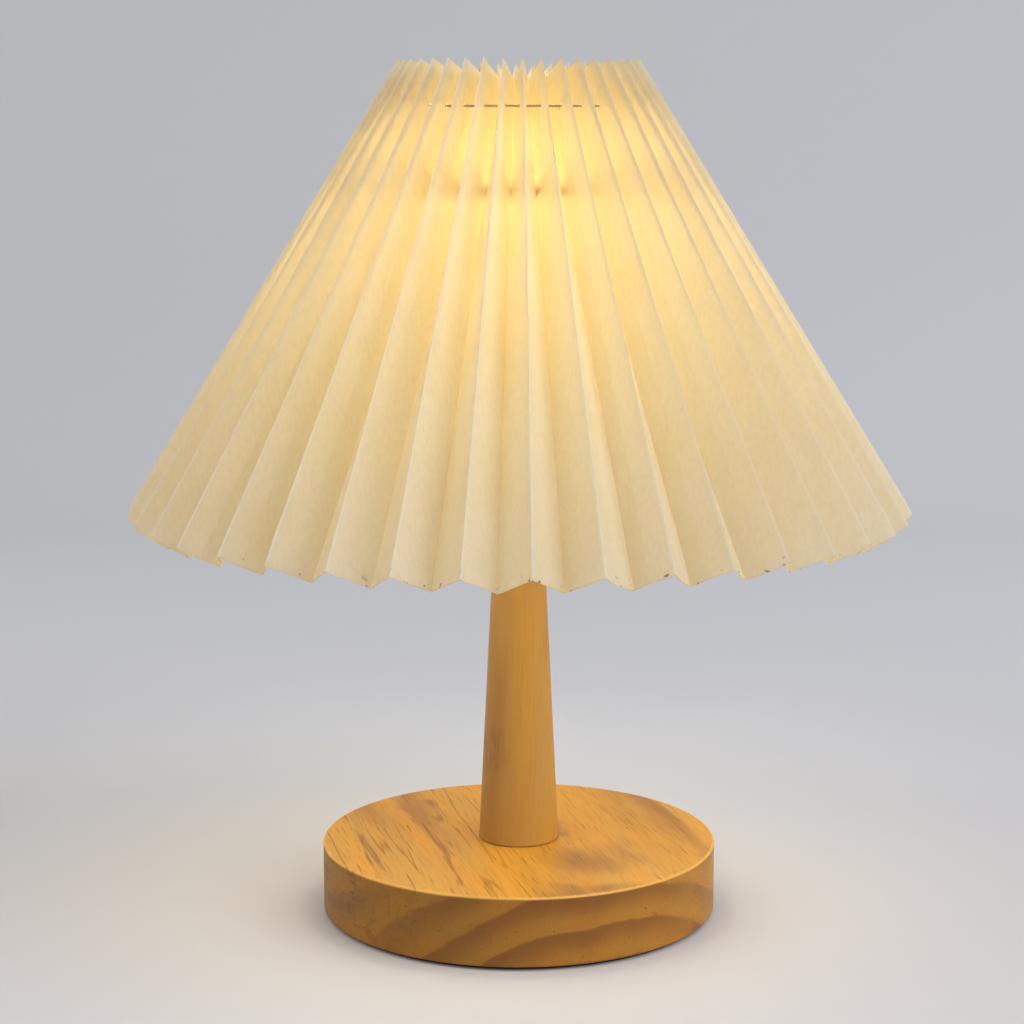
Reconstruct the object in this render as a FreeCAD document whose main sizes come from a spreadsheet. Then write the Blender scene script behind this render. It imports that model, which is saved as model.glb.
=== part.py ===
import FreeCAD, Part
import math
import os

import Sketcher

# Pleated paper table lamp, in millimetres, +Z up. The origin is on the surface that the lamp
# stands on, under the middle of its base. The front is -Y and the cord leaves at the back, +Y.

# Base
PAD_THICKNESS = 1.2
PAD_INSET = 2.5
PAD_FROM_COVER = 4.0
BASE_RADIUS = 66.5
BASE_THICKNESS = 23.0
BASE_EDGE_ROUND = 0.7
BASE_WALL = 28.5
RECESS_DEPTH = 16.0
COVER_LAP = 6.0
COVER_THICKNESS = 2.0
COVER_GAP = 0.25
COVER_SCREW_COUNT = 3
FIRST_COVER_SCREW_ANGLE = 30.0
COVER_SCREW_HEAD_HEIGHT = 0.84
SCREW_SHANK_RADIUS = 1.3
SCREW_HEAD_RADIUS = 2.6
SCREW_HEAD_HEIGHT = 1.4
SCREW_BITE = 7.0
SCREW_SLOT_WIDTH = 0.6
SCREW_SLOT_DEPTH = 0.6
SCREW_GAP = 0.1

# Stem and its threaded rod
STEM_FOOT_RADIUS = 13.5
STEM_TOP_RADIUS = 9.0
STEM_HEIGHT = 92.0
STEM_EDGE_ROUND = 0.6
ROD_RADIUS = 5.0
ROD_BORE_RADIUS = 3.4
ROD_GAP = 0.2
ROD_BELOW_NUT = 1.5
ROD_IN_HOLDER = 7.0
WASHER_RADIUS = 10.0
WASHER_THICKNESS = 1.2
NUT_ACROSS_FLATS = 14.0
NUT_HEIGHT = 4.0

# Cord inlet, strain relief and terminals in the base
CORD_RADIUS = 3.5
CORD_GAP = 0.15
CORD_HEIGHT = 9.5
GROMMET_WALL = 1.4
GROMMET_FLANGE_WIDTH = 1.8
GROMMET_FLANGE_THICKNESS = 1.6
CLAMP_LENGTH = 22.0
CLAMP_WIDTH = 8.0
CLAMP_THICKNESS = 2.4
CLAMP_FROM_WALL = 11.0
TERMINAL_LENGTH = 15.0
TERMINAL_WIDTH = 13.0
TERMINAL_OFFSET = 13.5
TERMINAL_FLOOR_GAP = 0.8
TERMINAL_PITCH = 4.0
TERMINAL_HOLE_RADIUS = 1.3
TERMINAL_SCREW_RADIUS = 1.2
TERMINAL_SCREW_HEIGHT = 1.4
LEAD_RADIUS = 0.9
LEAD_BEND_RADIUS = 4.0
LEAD_IN_TERMINAL = 4.0

# Lamp holder
HOLDER_FOOT_RADIUS = 11.0
HOLDER_RADIUS = 17.5
HOLDER_WALL = 2.0
CAP_FLOOR = 5.0
CAP_FLARE = 9.0
CAP_HEIGHT = 17.0
INSERT_THICKNESS = 7.0
INSERT_GAP = 0.15
SHELL_HEIGHT = 34.0
FLANGE_HEIGHT = 16.0
FLANGE_THICKNESS = 2.2
FLANGE_RADIUS = 23.5
THREAD_RADIUS = 19.2
THREAD_DEPTH = 0.5
GROOVE_COUNT = 5
SCREW_SHELL_RADIUS = 13.9
SCREW_SHELL_WALL = 0.5
SCREW_SHELL_HEIGHT = 19.0
CONTACT_LENGTH = 16.0
CONTACT_WIDTH = 5.0
CONTACT_THICKNESS = 0.6
CONTACT_RISE = 1.2

# Shade carrier: fitter plate, three arms, ring, and the collar that clamps it
FITTER_THICKNESS = 1.2
FITTER_HOLE_GAP = 0.8
FITTER_RADIUS = 27.5
CLAMP_GAP = 0.2
COLLAR_GAP = 0.3
COLLAR_RADIUS = 25.5
COLLAR_HEIGHT = 8.0
WIRE_RADIUS = 1.4
ARM_COUNT = 3
FIRST_ARM_ANGLE = 90.0
ARM_REACH = 5.0
ARM_BEND_RADIUS = 4.0
RING_DROP = 42.0
RING_GAP = 0.35

# Bulb
BULB_GAP = 0.1
TIP_RADIUS = 4.6
TIP_HEIGHT = 1.6
INSULATOR_HEIGHT = 2.8
BULB_CAP_RADIUS = 13.1
BULB_CAP_HEIGHT = 22.0
BULB_THREAD_DEPTH = 0.9
BULB_THREAD_PITCH = 3.63
BULB_THREAD_COUNT = 4
BULB_WALL = 0.5
HOUSING_HEIGHT = 16.0
HOUSING_WALL = 1.4
BULB_NECK_RADIUS = 16.0
GLOBE_RADIUS = 22.5
GLOBE_WALL = 1.2
BOARD_THICKNESS = 1.5
BOARD_GAP = 0.3
DRIVER_WIDTH = 17.0
DRIVER_HEIGHT = 24.0
DRIVER_THICKNESS = 1.6
LED_COUNT = 8
LED_SIZE = 2.8
LED_HEIGHT = 0.7
LED_CIRCLE_RADIUS = 8.5

# Paper shade
PLEAT_COUNT = 40
PLEAT_TURN = 1.5
SHADE_LOW_RADIUS = 130.0
SHADE_TOP_RADIUS = 39.2
SHADE_HEIGHT = 146.7
SHADE_ABOVE_STEM = 22.0
PLEAT_DEPTH_LOW = 10.6
PLEAT_DEPTH_TOP = 13.8
PAPER_THICKNESS = 0.4
LACE_DROP = 15.0
LACE_INSET = 7.0
LACE_RADIUS = 0.6
LACE_HOLE_GAP = 0.35
KNOT_RADIUS = 1.15


doc = FreeCAD.newDocument("PleatedPaperLamp")
sheet = doc.addObject("Spreadsheet::Sheet", "Sizes")


class Size:
    """A length with its number and the formula that ties it to the sheet."""

    def __init__(self, number, formula):
        self.number = number
        self.formula = formula

    def joined(self, sign, other, number):
        return Size(number, "(" + self.formula + " " + sign + " " + other.formula + ")")

    def __add__(self, other):
        other = as_size(other)
        return self.joined("+", other, self.number + other.number)

    def __sub__(self, other):
        other = as_size(other)
        return self.joined("-", other, self.number - other.number)

    def __mul__(self, other):
        other = as_size(other)
        return self.joined("*", other, self.number * other.number)

    def __truediv__(self, other):
        other = as_size(other)
        return self.joined("/", other, self.number / other.number)


def as_size(value):
    if isinstance(value, Size):
        return value
    return Size(float(value), repr(float(value)))


def root(size):
    return Size(math.sqrt(size.number), "sqrt(" + size.formula + ")")


row = 0


def given(alias, number):
    """Write one driving dimension into the sheet and give it back as a Size."""
    global row
    row += 1
    sheet.set("A%d" % row, alias)
    sheet.set("B%d" % row, repr(number))
    sheet.setAlias("B%d" % row, alias)
    return Size(float(number), "Sizes." + alias)


# ---- The sheet's cells ----

# Base
pad_thickness = given("pad_thickness", PAD_THICKNESS)
pad_inset = given("pad_inset", PAD_INSET)
pad_from_cover = given("pad_from_cover", PAD_FROM_COVER)
base_radius = given("base_radius", BASE_RADIUS)
base_thickness = given("base_thickness", BASE_THICKNESS)
base_edge_round = given("base_edge_round", BASE_EDGE_ROUND)
base_wall = given("base_wall", BASE_WALL)
recess_depth = given("recess_depth", RECESS_DEPTH)
cover_lap = given("cover_lap", COVER_LAP)
cover_thickness = given("cover_thickness", COVER_THICKNESS)
cover_gap = given("cover_gap", COVER_GAP)
cover_screw_head_height = given("cover_screw_head_height", COVER_SCREW_HEAD_HEIGHT)
screw_shank_radius = given("screw_shank_radius", SCREW_SHANK_RADIUS)
screw_head_radius = given("screw_head_radius", SCREW_HEAD_RADIUS)
screw_head_height = given("screw_head_height", SCREW_HEAD_HEIGHT)
screw_bite = given("screw_bite", SCREW_BITE)
screw_slot_width = given("screw_slot_width", SCREW_SLOT_WIDTH)
screw_slot_depth = given("screw_slot_depth", SCREW_SLOT_DEPTH)
screw_gap = given("screw_gap", SCREW_GAP)

# Stem and its threaded rod
stem_foot_radius = given("stem_foot_radius", STEM_FOOT_RADIUS)
stem_top_radius = given("stem_top_radius", STEM_TOP_RADIUS)
stem_height = given("stem_height", STEM_HEIGHT)
stem_edge_round = given("stem_edge_round", STEM_EDGE_ROUND)
rod_radius = given("rod_radius", ROD_RADIUS)
rod_bore_radius = given("rod_bore_radius", ROD_BORE_RADIUS)
rod_gap = given("rod_gap", ROD_GAP)
rod_below_nut = given("rod_below_nut", ROD_BELOW_NUT)
rod_in_holder = given("rod_in_holder", ROD_IN_HOLDER)
washer_radius = given("washer_radius", WASHER_RADIUS)
washer_thickness = given("washer_thickness", WASHER_THICKNESS)
nut_across_flats = given("nut_across_flats", NUT_ACROSS_FLATS)
nut_height = given("nut_height", NUT_HEIGHT)

# Cord inlet, strain relief and terminals in the base
cord_radius = given("cord_radius", CORD_RADIUS)
cord_gap = given("cord_gap", CORD_GAP)
cord_height = given("cord_height", CORD_HEIGHT)
grommet_wall = given("grommet_wall", GROMMET_WALL)
grommet_flange_width = given("grommet_flange_width", GROMMET_FLANGE_WIDTH)
grommet_flange_thickness = given("grommet_flange_thickness", GROMMET_FLANGE_THICKNESS)
clamp_length = given("clamp_length", CLAMP_LENGTH)
clamp_width = given("clamp_width", CLAMP_WIDTH)
clamp_thickness = given("clamp_thickness", CLAMP_THICKNESS)
clamp_from_wall = given("clamp_from_wall", CLAMP_FROM_WALL)
terminal_length = given("terminal_length", TERMINAL_LENGTH)
terminal_width = given("terminal_width", TERMINAL_WIDTH)
terminal_offset = given("terminal_offset", TERMINAL_OFFSET)
terminal_floor_gap = given("terminal_floor_gap", TERMINAL_FLOOR_GAP)
terminal_pitch = given("terminal_pitch", TERMINAL_PITCH)
terminal_hole_radius = given("terminal_hole_radius", TERMINAL_HOLE_RADIUS)
terminal_screw_radius = given("terminal_screw_radius", TERMINAL_SCREW_RADIUS)
terminal_screw_height = given("terminal_screw_height", TERMINAL_SCREW_HEIGHT)
lead_radius = given("lead_radius", LEAD_RADIUS)
lead_bend_radius = given("lead_bend_radius", LEAD_BEND_RADIUS)
lead_in_terminal = given("lead_in_terminal", LEAD_IN_TERMINAL)

# Lamp holder
holder_foot_radius = given("holder_foot_radius", HOLDER_FOOT_RADIUS)
holder_radius = given("holder_radius", HOLDER_RADIUS)
holder_wall = given("holder_wall", HOLDER_WALL)
cap_floor = given("cap_floor", CAP_FLOOR)
cap_flare = given("cap_flare", CAP_FLARE)
cap_height = given("cap_height", CAP_HEIGHT)
insert_thickness = given("insert_thickness", INSERT_THICKNESS)
insert_gap = given("insert_gap", INSERT_GAP)
shell_height = given("shell_height", SHELL_HEIGHT)
flange_height = given("flange_height", FLANGE_HEIGHT)
flange_thickness = given("flange_thickness", FLANGE_THICKNESS)
flange_radius = given("flange_radius", FLANGE_RADIUS)
thread_radius = given("thread_radius", THREAD_RADIUS)
thread_depth = given("thread_depth", THREAD_DEPTH)
screw_shell_radius = given("screw_shell_radius", SCREW_SHELL_RADIUS)
screw_shell_wall = given("screw_shell_wall", SCREW_SHELL_WALL)
screw_shell_height = given("screw_shell_height", SCREW_SHELL_HEIGHT)
contact_length = given("contact_length", CONTACT_LENGTH)
contact_width = given("contact_width", CONTACT_WIDTH)
contact_thickness = given("contact_thickness", CONTACT_THICKNESS)
contact_rise = given("contact_rise", CONTACT_RISE)

# Shade carrier: fitter plate, three arms, ring, and the collar that clamps it
fitter_thickness = given("fitter_thickness", FITTER_THICKNESS)
fitter_hole_gap = given("fitter_hole_gap", FITTER_HOLE_GAP)
fitter_radius = given("fitter_radius", FITTER_RADIUS)
clamp_gap = given("clamp_gap", CLAMP_GAP)
collar_gap = given("collar_gap", COLLAR_GAP)
collar_radius = given("collar_radius", COLLAR_RADIUS)
collar_height = given("collar_height", COLLAR_HEIGHT)
wire_radius = given("wire_radius", WIRE_RADIUS)
arm_reach = given("arm_reach", ARM_REACH)
arm_bend_radius = given("arm_bend_radius", ARM_BEND_RADIUS)
ring_drop = given("ring_drop", RING_DROP)
ring_gap = given("ring_gap", RING_GAP)

# Bulb
bulb_gap = given("bulb_gap", BULB_GAP)
tip_radius = given("tip_radius", TIP_RADIUS)
tip_height = given("tip_height", TIP_HEIGHT)
insulator_height = given("insulator_height", INSULATOR_HEIGHT)
bulb_cap_radius = given("bulb_cap_radius", BULB_CAP_RADIUS)
bulb_cap_height = given("bulb_cap_height", BULB_CAP_HEIGHT)
bulb_thread_depth = given("bulb_thread_depth", BULB_THREAD_DEPTH)
bulb_thread_pitch = given("bulb_thread_pitch", BULB_THREAD_PITCH)
bulb_wall = given("bulb_wall", BULB_WALL)
housing_height = given("housing_height", HOUSING_HEIGHT)
housing_wall = given("housing_wall", HOUSING_WALL)
bulb_neck_radius = given("bulb_neck_radius", BULB_NECK_RADIUS)
globe_radius = given("globe_radius", GLOBE_RADIUS)
globe_wall = given("globe_wall", GLOBE_WALL)
board_thickness = given("board_thickness", BOARD_THICKNESS)
board_gap = given("board_gap", BOARD_GAP)
driver_width = given("driver_width", DRIVER_WIDTH)
driver_height = given("driver_height", DRIVER_HEIGHT)
driver_thickness = given("driver_thickness", DRIVER_THICKNESS)
led_size = given("led_size", LED_SIZE)
led_height = given("led_height", LED_HEIGHT)
led_circle_radius = given("led_circle_radius", LED_CIRCLE_RADIUS)

# Paper shade
pleat_turn = given("pleat_turn", PLEAT_TURN)
shade_low_radius = given("shade_low_radius", SHADE_LOW_RADIUS)
shade_top_radius = given("shade_top_radius", SHADE_TOP_RADIUS)
shade_height = given("shade_height", SHADE_HEIGHT)
shade_above_stem = given("shade_above_stem", SHADE_ABOVE_STEM)
pleat_depth_low = given("pleat_depth_low", PLEAT_DEPTH_LOW)
pleat_depth_top = given("pleat_depth_top", PLEAT_DEPTH_TOP)
paper_thickness = given("paper_thickness", PAPER_THICKNESS)
lace_drop = given("lace_drop", LACE_DROP)
lace_inset = given("lace_inset", LACE_INSET)
lace_radius = given("lace_radius", LACE_RADIUS)
lace_hole_gap = given("lace_hole_gap", LACE_HOLE_GAP)
knot_radius = given("knot_radius", KNOT_RADIUS)

# Heights that follow from the sizes above
base_low = pad_thickness
base_top = base_low + base_thickness
recess_top = base_low + recess_depth
cover_top = base_low + cover_thickness
stem_top = base_top + stem_height
washer_low = recess_top - washer_thickness
nut_low = washer_low - nut_height
rod_low = nut_low - rod_below_nut
cap_top = stem_top + cap_height
insert_low = cap_top - insert_thickness
shell_top = cap_top + shell_height
flange_low = cap_top + flange_height
flange_top = flange_low + flange_thickness
fitter_low = flange_top + clamp_gap
fitter_top = fitter_low + fitter_thickness
collar_low = fitter_top + clamp_gap
fitter_hole_radius = thread_radius + fitter_hole_gap
contact_top = cap_top + contact_rise + contact_thickness
tip_low = contact_top + bulb_gap
tip_top = tip_low + tip_height
bulb_cap_low = tip_top + insulator_height
bulb_cap_top = bulb_cap_low + bulb_cap_height
housing_top = bulb_cap_top + housing_height
shade_low = stem_top + shade_above_stem
shade_top = shade_low + shade_height

# The slope of the shade's outer folds, and the inner folds, whose ends lie square to it
shade_spread = shade_low_radius - shade_top_radius
shade_slant = root(shade_spread * shade_spread + shade_height * shade_height)
slope_in = shade_height / shade_slant
slope_down = shade_spread / shade_slant
fold_low_radius = shade_low_radius - pleat_depth_low * slope_in
fold_low = shade_low - pleat_depth_low * slope_down
fold_top_radius = shade_top_radius - pleat_depth_top * slope_in
fold_top = shade_top - pleat_depth_top * slope_down
fold_lean = (fold_low_radius - fold_top_radius) / (fold_top - fold_low)

# The carrier's ring stands clear of the inner folds, which lean outwards going down
ring_height = shade_top - ring_drop
ring_clear = (wire_radius + ring_gap) * root(fold_lean * fold_lean + 1.0)
ring_radius = fold_top_radius + (fold_top - ring_height) * fold_lean - ring_clear

# The lace runs through every pleat, below the top edge
lace_height = shade_top - lace_drop
lace_ring_radius = shade_top_radius + lace_drop * shade_spread / shade_height - lace_inset

parts = {}


def keep(name, thing):
    """Name one sub-part and list it for export."""
    thing.Label = name
    parts[name] = thing
    return thing


def origin_plane(body, role):
    for feature in body.Origin.OriginFeatures:
        if feature.Role == role:
            return feature
    raise ValueError("no origin plane " + role)


def new_sketch(body, name, role):
    sketch = body.newObject("Sketcher::SketchObject", name)
    sketch.AttachmentSupport = (origin_plane(body, role), "")
    sketch.MapMode = "FlatFace"
    return sketch


def pin(sketch, geometry, point, across, up):
    """Fix one point of a sketch at two sheet formulas, or on an axis where one is zero."""
    for kind, axis, size in (("DistanceX", -2, across), ("DistanceY", -1, up)):
        size = as_size(size)
        if size.formula == "0.0":
            sketch.addConstraint(Sketcher.Constraint("PointOnObject", geometry, point, axis))
            continue
        index = sketch.addConstraint(
            Sketcher.Constraint(kind, -1, 1, geometry, point, size.number)
        )
        sketch.setExpression("Constraints[%d]" % index, size.formula)


def closed_outline(sketch, corners):
    """Draw straight lines through the corners, each pinned to its own formulas."""
    spots = [FreeCAD.Vector(as_size(a).number, as_size(b).number, 0) for a, b in corners]
    for index, spot in enumerate(spots):
        after = spots[(index + 1) % len(spots)]
        sketch.addGeometry(Part.LineSegment(spot, after), False)
    for index in range(len(spots)):
        following = (index + 1) % len(spots)
        sketch.addConstraint(Sketcher.Constraint("Coincident", index, 2, following, 1))
    for index, (across, up) in enumerate(corners):
        pin(sketch, index, 1, across, up)


def set_radius(sketch, geometry, radius):
    limit = sketch.addConstraint(Sketcher.Constraint("Radius", geometry, radius.number))
    sketch.setExpression("Constraints[%d]" % limit, radius.formula)


def circle_at(sketch, across, up, radius):
    """Draw a circle whose centre and radius follow formulas."""
    radius = as_size(radius)
    centre = FreeCAD.Vector(as_size(across).number, as_size(up).number, 0)
    index = sketch.addGeometry(Part.Circle(centre, FreeCAD.Vector(0, 0, 1), radius.number), False)
    set_radius(sketch, index, radius)
    pin(sketch, index, 3, across, up)


def turned(name, corners):
    """A piece turned on a lathe about Z, from the corners of its half section."""
    body = doc.addObject("PartDesign::Body", name)
    sketch = new_sketch(body, name + "_section", "XZ_Plane")
    closed_outline(sketch, corners)
    turn = body.newObject("PartDesign::Revolution", name + "_turn")
    turn.Profile = sketch
    turn.ReferenceAxis = (sketch, ["V_Axis"])
    turn.Angle = 360
    body.Tip = turn
    return keep(name, body)


def pocket(body, name, sketch, depth, backwards):
    """Cut a sketch into its body and make sure that it removes something."""
    doc.recompute()
    before = body.Shape.Volume
    cut = body.newObject("PartDesign::Pocket", name)
    cut.Profile = sketch
    cut.Type = "Length"
    cut.setExpression("Length", depth.formula)
    cut.Reversed = backwards
    body.Tip = cut
    doc.recompute()
    if body.Shape.Volume >= before - 0.001:
        raise RuntimeError(name + " cuts nothing")
    return cut


def round_edges(body, name, radius, wanted):
    """Round the circular edges that lie at the given radii and heights."""
    doc.recompute()
    edges = []
    for index, edge in enumerate(body.Shape.Edges):
        if not isinstance(edge.Curve, Part.Circle):
            continue
        centre = edge.Curve.Center
        for edge_radius, height in wanted:
            near = abs(edge.Curve.Radius - edge_radius.number) < 0.001
            if near and abs(centre.z - height.number) < 0.001:
                edges.append("Edge%d" % (index + 1))
    if len(edges) < len(wanted):
        raise RuntimeError(name + " finds too few edges")
    sharp = body.Tip
    fillet = body.newObject("PartDesign::Fillet", name)
    fillet.Base = (sharp, edges)
    fillet.setExpression("Radius", radius.formula)
    body.Tip = fillet


def solid(kind, name, sizes, place=None):
    """A primitive solid whose sizes, and place if given, follow formulas."""
    thing = doc.addObject("Part::" + kind, name)
    for prop, size in sizes.items():
        thing.setExpression(prop, as_size(size).formula)
    for axis, size in zip("xyz", place or ()):
        thing.setExpression("Placement.Base." + axis, as_size(size).formula)
    return thing


def joined(name, things):
    fuse = doc.addObject("Part::MultiFuse", name)
    fuse.Shapes = things
    return fuse


def cut_from(name, base, tool):
    cut = doc.addObject("Part::Cut", name)
    cut.Base = base
    cut.Tool = tool
    return cut


def group(name, things):
    """Identical fasteners that stay separate solids in one sub-part."""
    compound = doc.addObject("Part::Compound", name)
    compound.Links = things
    return keep(name, compound)


def turned_about_z(angle):
    return FreeCAD.Rotation(FreeCAD.Vector(0, 0, 1), angle)


def around(count, index, start=0.0):
    """The angle in degrees of one of several pieces spaced evenly about the axis."""
    return start + index * 360.0 / count


# ---- Foot pad: a foam ring stuck under the wooden base ----

recess_radius = base_radius - base_wall
cover_radius = recess_radius + cover_lap
pad_outer = base_radius - pad_inset
pad_inner = cover_radius + pad_from_cover
turned(
    "foot_pad",
    [(pad_inner, 0), (pad_outer, 0), (pad_outer, base_low), (pad_inner, base_low)],
)

# ---- Wooden base: disc, rebated and hollowed from below, bored for the rod and the cord ----

rod_hole_radius = rod_radius + rod_gap
base_disc = turned(
    "base_disc",
    [
        (cover_radius, base_low),
        (base_radius, base_low),
        (base_radius, base_top),
        (rod_hole_radius, base_top),
        (rod_hole_radius, recess_top),
        (recess_radius, recess_top),
        (recess_radius, cover_top),
        (cover_radius, cover_top),
    ],
)
grommet_radius = cord_radius + cord_gap + grommet_wall
cord_hole = new_sketch(base_disc, "cord_hole", "XZ_Plane")
circle_at(cord_hole, 0, cord_height, grommet_radius)
pocket(base_disc, "cord_hole_cut", cord_hole, base_radius, False)
cover_screw_circle = recess_radius + cover_lap / 2


def cover_screw_spots(sketch, radius):
    """Circles at the places of the screws that hold the base cover."""
    for index in range(COVER_SCREW_COUNT):
        angle = math.radians(around(COVER_SCREW_COUNT, index, FIRST_COVER_SCREW_ANGLE))
        across = cover_screw_circle * math.cos(angle)
        up = cover_screw_circle * math.sin(angle)
        circle_at(sketch, across, up, radius)


pilot_holes = new_sketch(base_disc, "pilot_holes", "XY_Plane")
cover_screw_spots(pilot_holes, screw_shank_radius + screw_gap)
pilot_depth = cover_top + screw_bite
pocket(base_disc, "pilot_hole_cuts", pilot_holes, pilot_depth, True)
round_edges(
    base_disc, "base_edges", base_edge_round, [(base_radius, base_top), (base_radius, base_low)]
)

# ---- Base cover and its screws, level with the underside of the wood ----

base_cover = turned(
    "base_cover",
    [
        (0, base_low),
        (cover_radius - cover_gap, base_low),
        (cover_radius - cover_gap, cover_top),
        (0, cover_top),
    ],
)
cover_holes = new_sketch(base_cover, "cover_holes", "XY_Plane")
cover_screw_spots(cover_holes, screw_shank_radius + screw_gap)
pocket(base_cover, "cover_hole_cuts", cover_holes, cover_top, True)


def slotted_screw(name, shank_radius, head_radius, head_height, shank_length):
    """A screw that points up, its slotted head below the height where its shank starts."""
    head = solid("Cylinder", name + "_head", {"Radius": head_radius, "Height": head_height})
    shank = solid(
        "Cylinder",
        name + "_shank",
        {"Radius": shank_radius, "Height": head_height + shank_length},
    )
    blank = joined(name + "_blank", [head, shank])
    slot = solid(
        "Box",
        name + "_slot",
        {"Length": head_radius * 4, "Width": screw_slot_width, "Height": screw_slot_depth},
        (head_radius * -2, screw_slot_width / -2, 0),
    )
    return cut_from(name, blank, slot)


def screw_at(name, angle, distance, height, sizes):
    """One slotted screw at an angle and distance from the axis, its head's foot at height."""
    screw = slotted_screw(name, *sizes)
    turn = math.radians(angle)
    screw.Placement.Rotation = turned_about_z(angle)
    screw.setExpression("Placement.Base.x", (distance * math.cos(turn)).formula)
    screw.setExpression("Placement.Base.y", (distance * math.sin(turn)).formula)
    screw.setExpression("Placement.Base.z", height.formula)
    return screw


# The heads stand below the cover and stay above the surface that the pad rests on
cover_screws = []
for index in range(COVER_SCREW_COUNT):
    cover_screws.append(
        screw_at(
            "cover_screw_%d" % (index + 1),
            around(COVER_SCREW_COUNT, index, FIRST_COVER_SCREW_ANGLE),
            cover_screw_circle,
            base_low - cover_screw_head_height,
            (screw_shank_radius, screw_head_radius, cover_screw_head_height, cover_thickness + screw_bite),
        )
    )
group("cover_screws", cover_screws)

# ---- Stem: tapered wood with a straight bore ----

stem = turned(
    "stem",
    [
        (rod_hole_radius, base_top),
        (stem_foot_radius, base_top),
        (stem_top_radius, stem_top),
        (rod_hole_radius, stem_top),
    ],
)
round_edges(
    stem,
    "stem_edges",
    stem_edge_round,
    [(stem_foot_radius, base_top), (stem_top_radius, stem_top)],
)

# ---- Threaded rod, washer and nut that pull base, stem and holder together ----

rod_top = stem_top + rod_in_holder
turned(
    "threaded_rod",
    [
        (rod_bore_radius, rod_low),
        (rod_radius, rod_low),
        (rod_radius, rod_top),
        (rod_bore_radius, rod_top),
    ],
)
turned(
    "rod_washer",
    [
        (rod_hole_radius, washer_low),
        (washer_radius, washer_low),
        (washer_radius, recess_top),
        (rod_hole_radius, recess_top),
    ],
)
nut_corner_radius = nut_across_flats / math.sqrt(3.0)
nut_blank = solid(
    "Prism",
    "nut_blank",
    {"Circumradius": nut_corner_radius, "Height": nut_height},
    (0, 0, nut_low),
)
nut_blank.Polygon = 6
nut_bore = solid(
    "Cylinder", "nut_bore", {"Radius": rod_radius, "Height": nut_height}, (0, 0, nut_low)
)
keep("lock_nut", cut_from("lock_nut", nut_blank, nut_bore))

# ---- Cord grommet at the back of the base: a flanged bush, turned and laid along Y ----

grommet_length = base_radius - recess_radius
grommet_flange_radius = grommet_radius + grommet_flange_width
cord_bore_radius = cord_radius + cord_gap
grommet = turned(
    "cord_grommet",
    [
        (cord_bore_radius, 0),
        (grommet_radius, 0),
        (grommet_radius, grommet_length),
        (grommet_flange_radius, grommet_length),
        (grommet_flange_radius, grommet_length + grommet_flange_thickness),
        (cord_bore_radius, grommet_length + grommet_flange_thickness),
    ],
)
grommet.Placement.Rotation = FreeCAD.Rotation(FreeCAD.Vector(1, 0, 0), -90)
grommet.setExpression("Placement.Base.y", recess_radius.formula)
grommet.setExpression("Placement.Base.z", cord_height.formula)

# ---- Cord clamp: a grooved bar screwed up to the roof of the recess over the cord's place ----

clamp_y = recess_radius - clamp_from_wall
clamp_low = cord_height - cord_radius - clamp_thickness / 2
clamp_bar = solid(
    "Box",
    "clamp_bar",
    {"Length": clamp_length, "Width": clamp_width, "Height": recess_top - clamp_low},
    (clamp_length / -2, clamp_y - clamp_width / 2, clamp_low),
)
clamp_groove = solid(
    "Cylinder",
    "clamp_groove",
    {"Radius": cord_radius, "Height": clamp_width * 2},
    (0, clamp_y + clamp_width, cord_height),
)
clamp_groove.Placement.Rotation = FreeCAD.Rotation(FreeCAD.Vector(1, 0, 0), 90)
clamp_screw_spread = clamp_length / 2 - screw_head_radius - screw_gap * 2
clamp_tools = [clamp_groove]
for side in (-1, 1):
    clamp_tools.append(
        solid(
            "Cylinder",
            "clamp_hole_%s" % ("left" if side < 0 else "right"),
            {"Radius": screw_shank_radius + screw_gap, "Height": recess_depth},
            (clamp_screw_spread * side, clamp_y, clamp_low),
        )
    )
keep("cord_clamp", cut_from("cord_clamp", clamp_bar, joined("clamp_cuts", clamp_tools)))

clamp_screws = []
for side in (-1, 1):
    screw = slotted_screw(
        "clamp_screw_%s" % ("left" if side < 0 else "right"),
        screw_shank_radius,
        screw_head_radius,
        screw_head_height,
        recess_top - clamp_low,
    )
    screw.setExpression("Placement.Base.x", (clamp_screw_spread * side).formula)
    screw.setExpression("Placement.Base.y", clamp_y.formula)
    screw.setExpression("Placement.Base.z", (clamp_low - screw_head_height).formula)
    clamp_screws.append(screw)
group("clamp_screws", clamp_screws)

# ---- Terminal block hung from the roof of the recess, with its four screws ----

terminal_low = cover_top + terminal_floor_gap
terminal_blank = solid(
    "Box",
    "terminal_blank",
    {
        "Length": terminal_length,
        "Width": terminal_width,
        "Height": recess_top - terminal_low,
    },
    (terminal_offset, terminal_width / -2, terminal_low),
)
lead_run_height = rod_low - lead_bend_radius
terminal_tools = []
for side in (-1, 1):
    word = "neutral" if side < 0 else "live"
    wire_hole = solid(
        "Cylinder",
        word + "_hole",
        {"Radius": terminal_hole_radius, "Height": terminal_length},
        (terminal_offset, terminal_pitch * side / 2, lead_run_height),
    )
    wire_hole.Placement.Rotation = FreeCAD.Rotation(FreeCAD.Vector(0, 1, 0), 90)
    terminal_tools.append(wire_hole)
    for number, share in ((1, 0.25), (2, 0.75)):
        terminal_tools.append(
            solid(
                "Cylinder",
                "%s_screw_hole_%d" % (word, number),
                {"Radius": terminal_screw_radius + screw_gap, "Height": terminal_screw_height},
                (
                    terminal_offset + terminal_length * share,
                    terminal_pitch * side / 2,
                    terminal_low,
                ),
            )
        )
terminal_cuts = joined("terminal_cuts", terminal_tools)
keep("terminal_block", cut_from("terminal_block", terminal_blank, terminal_cuts))

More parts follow.
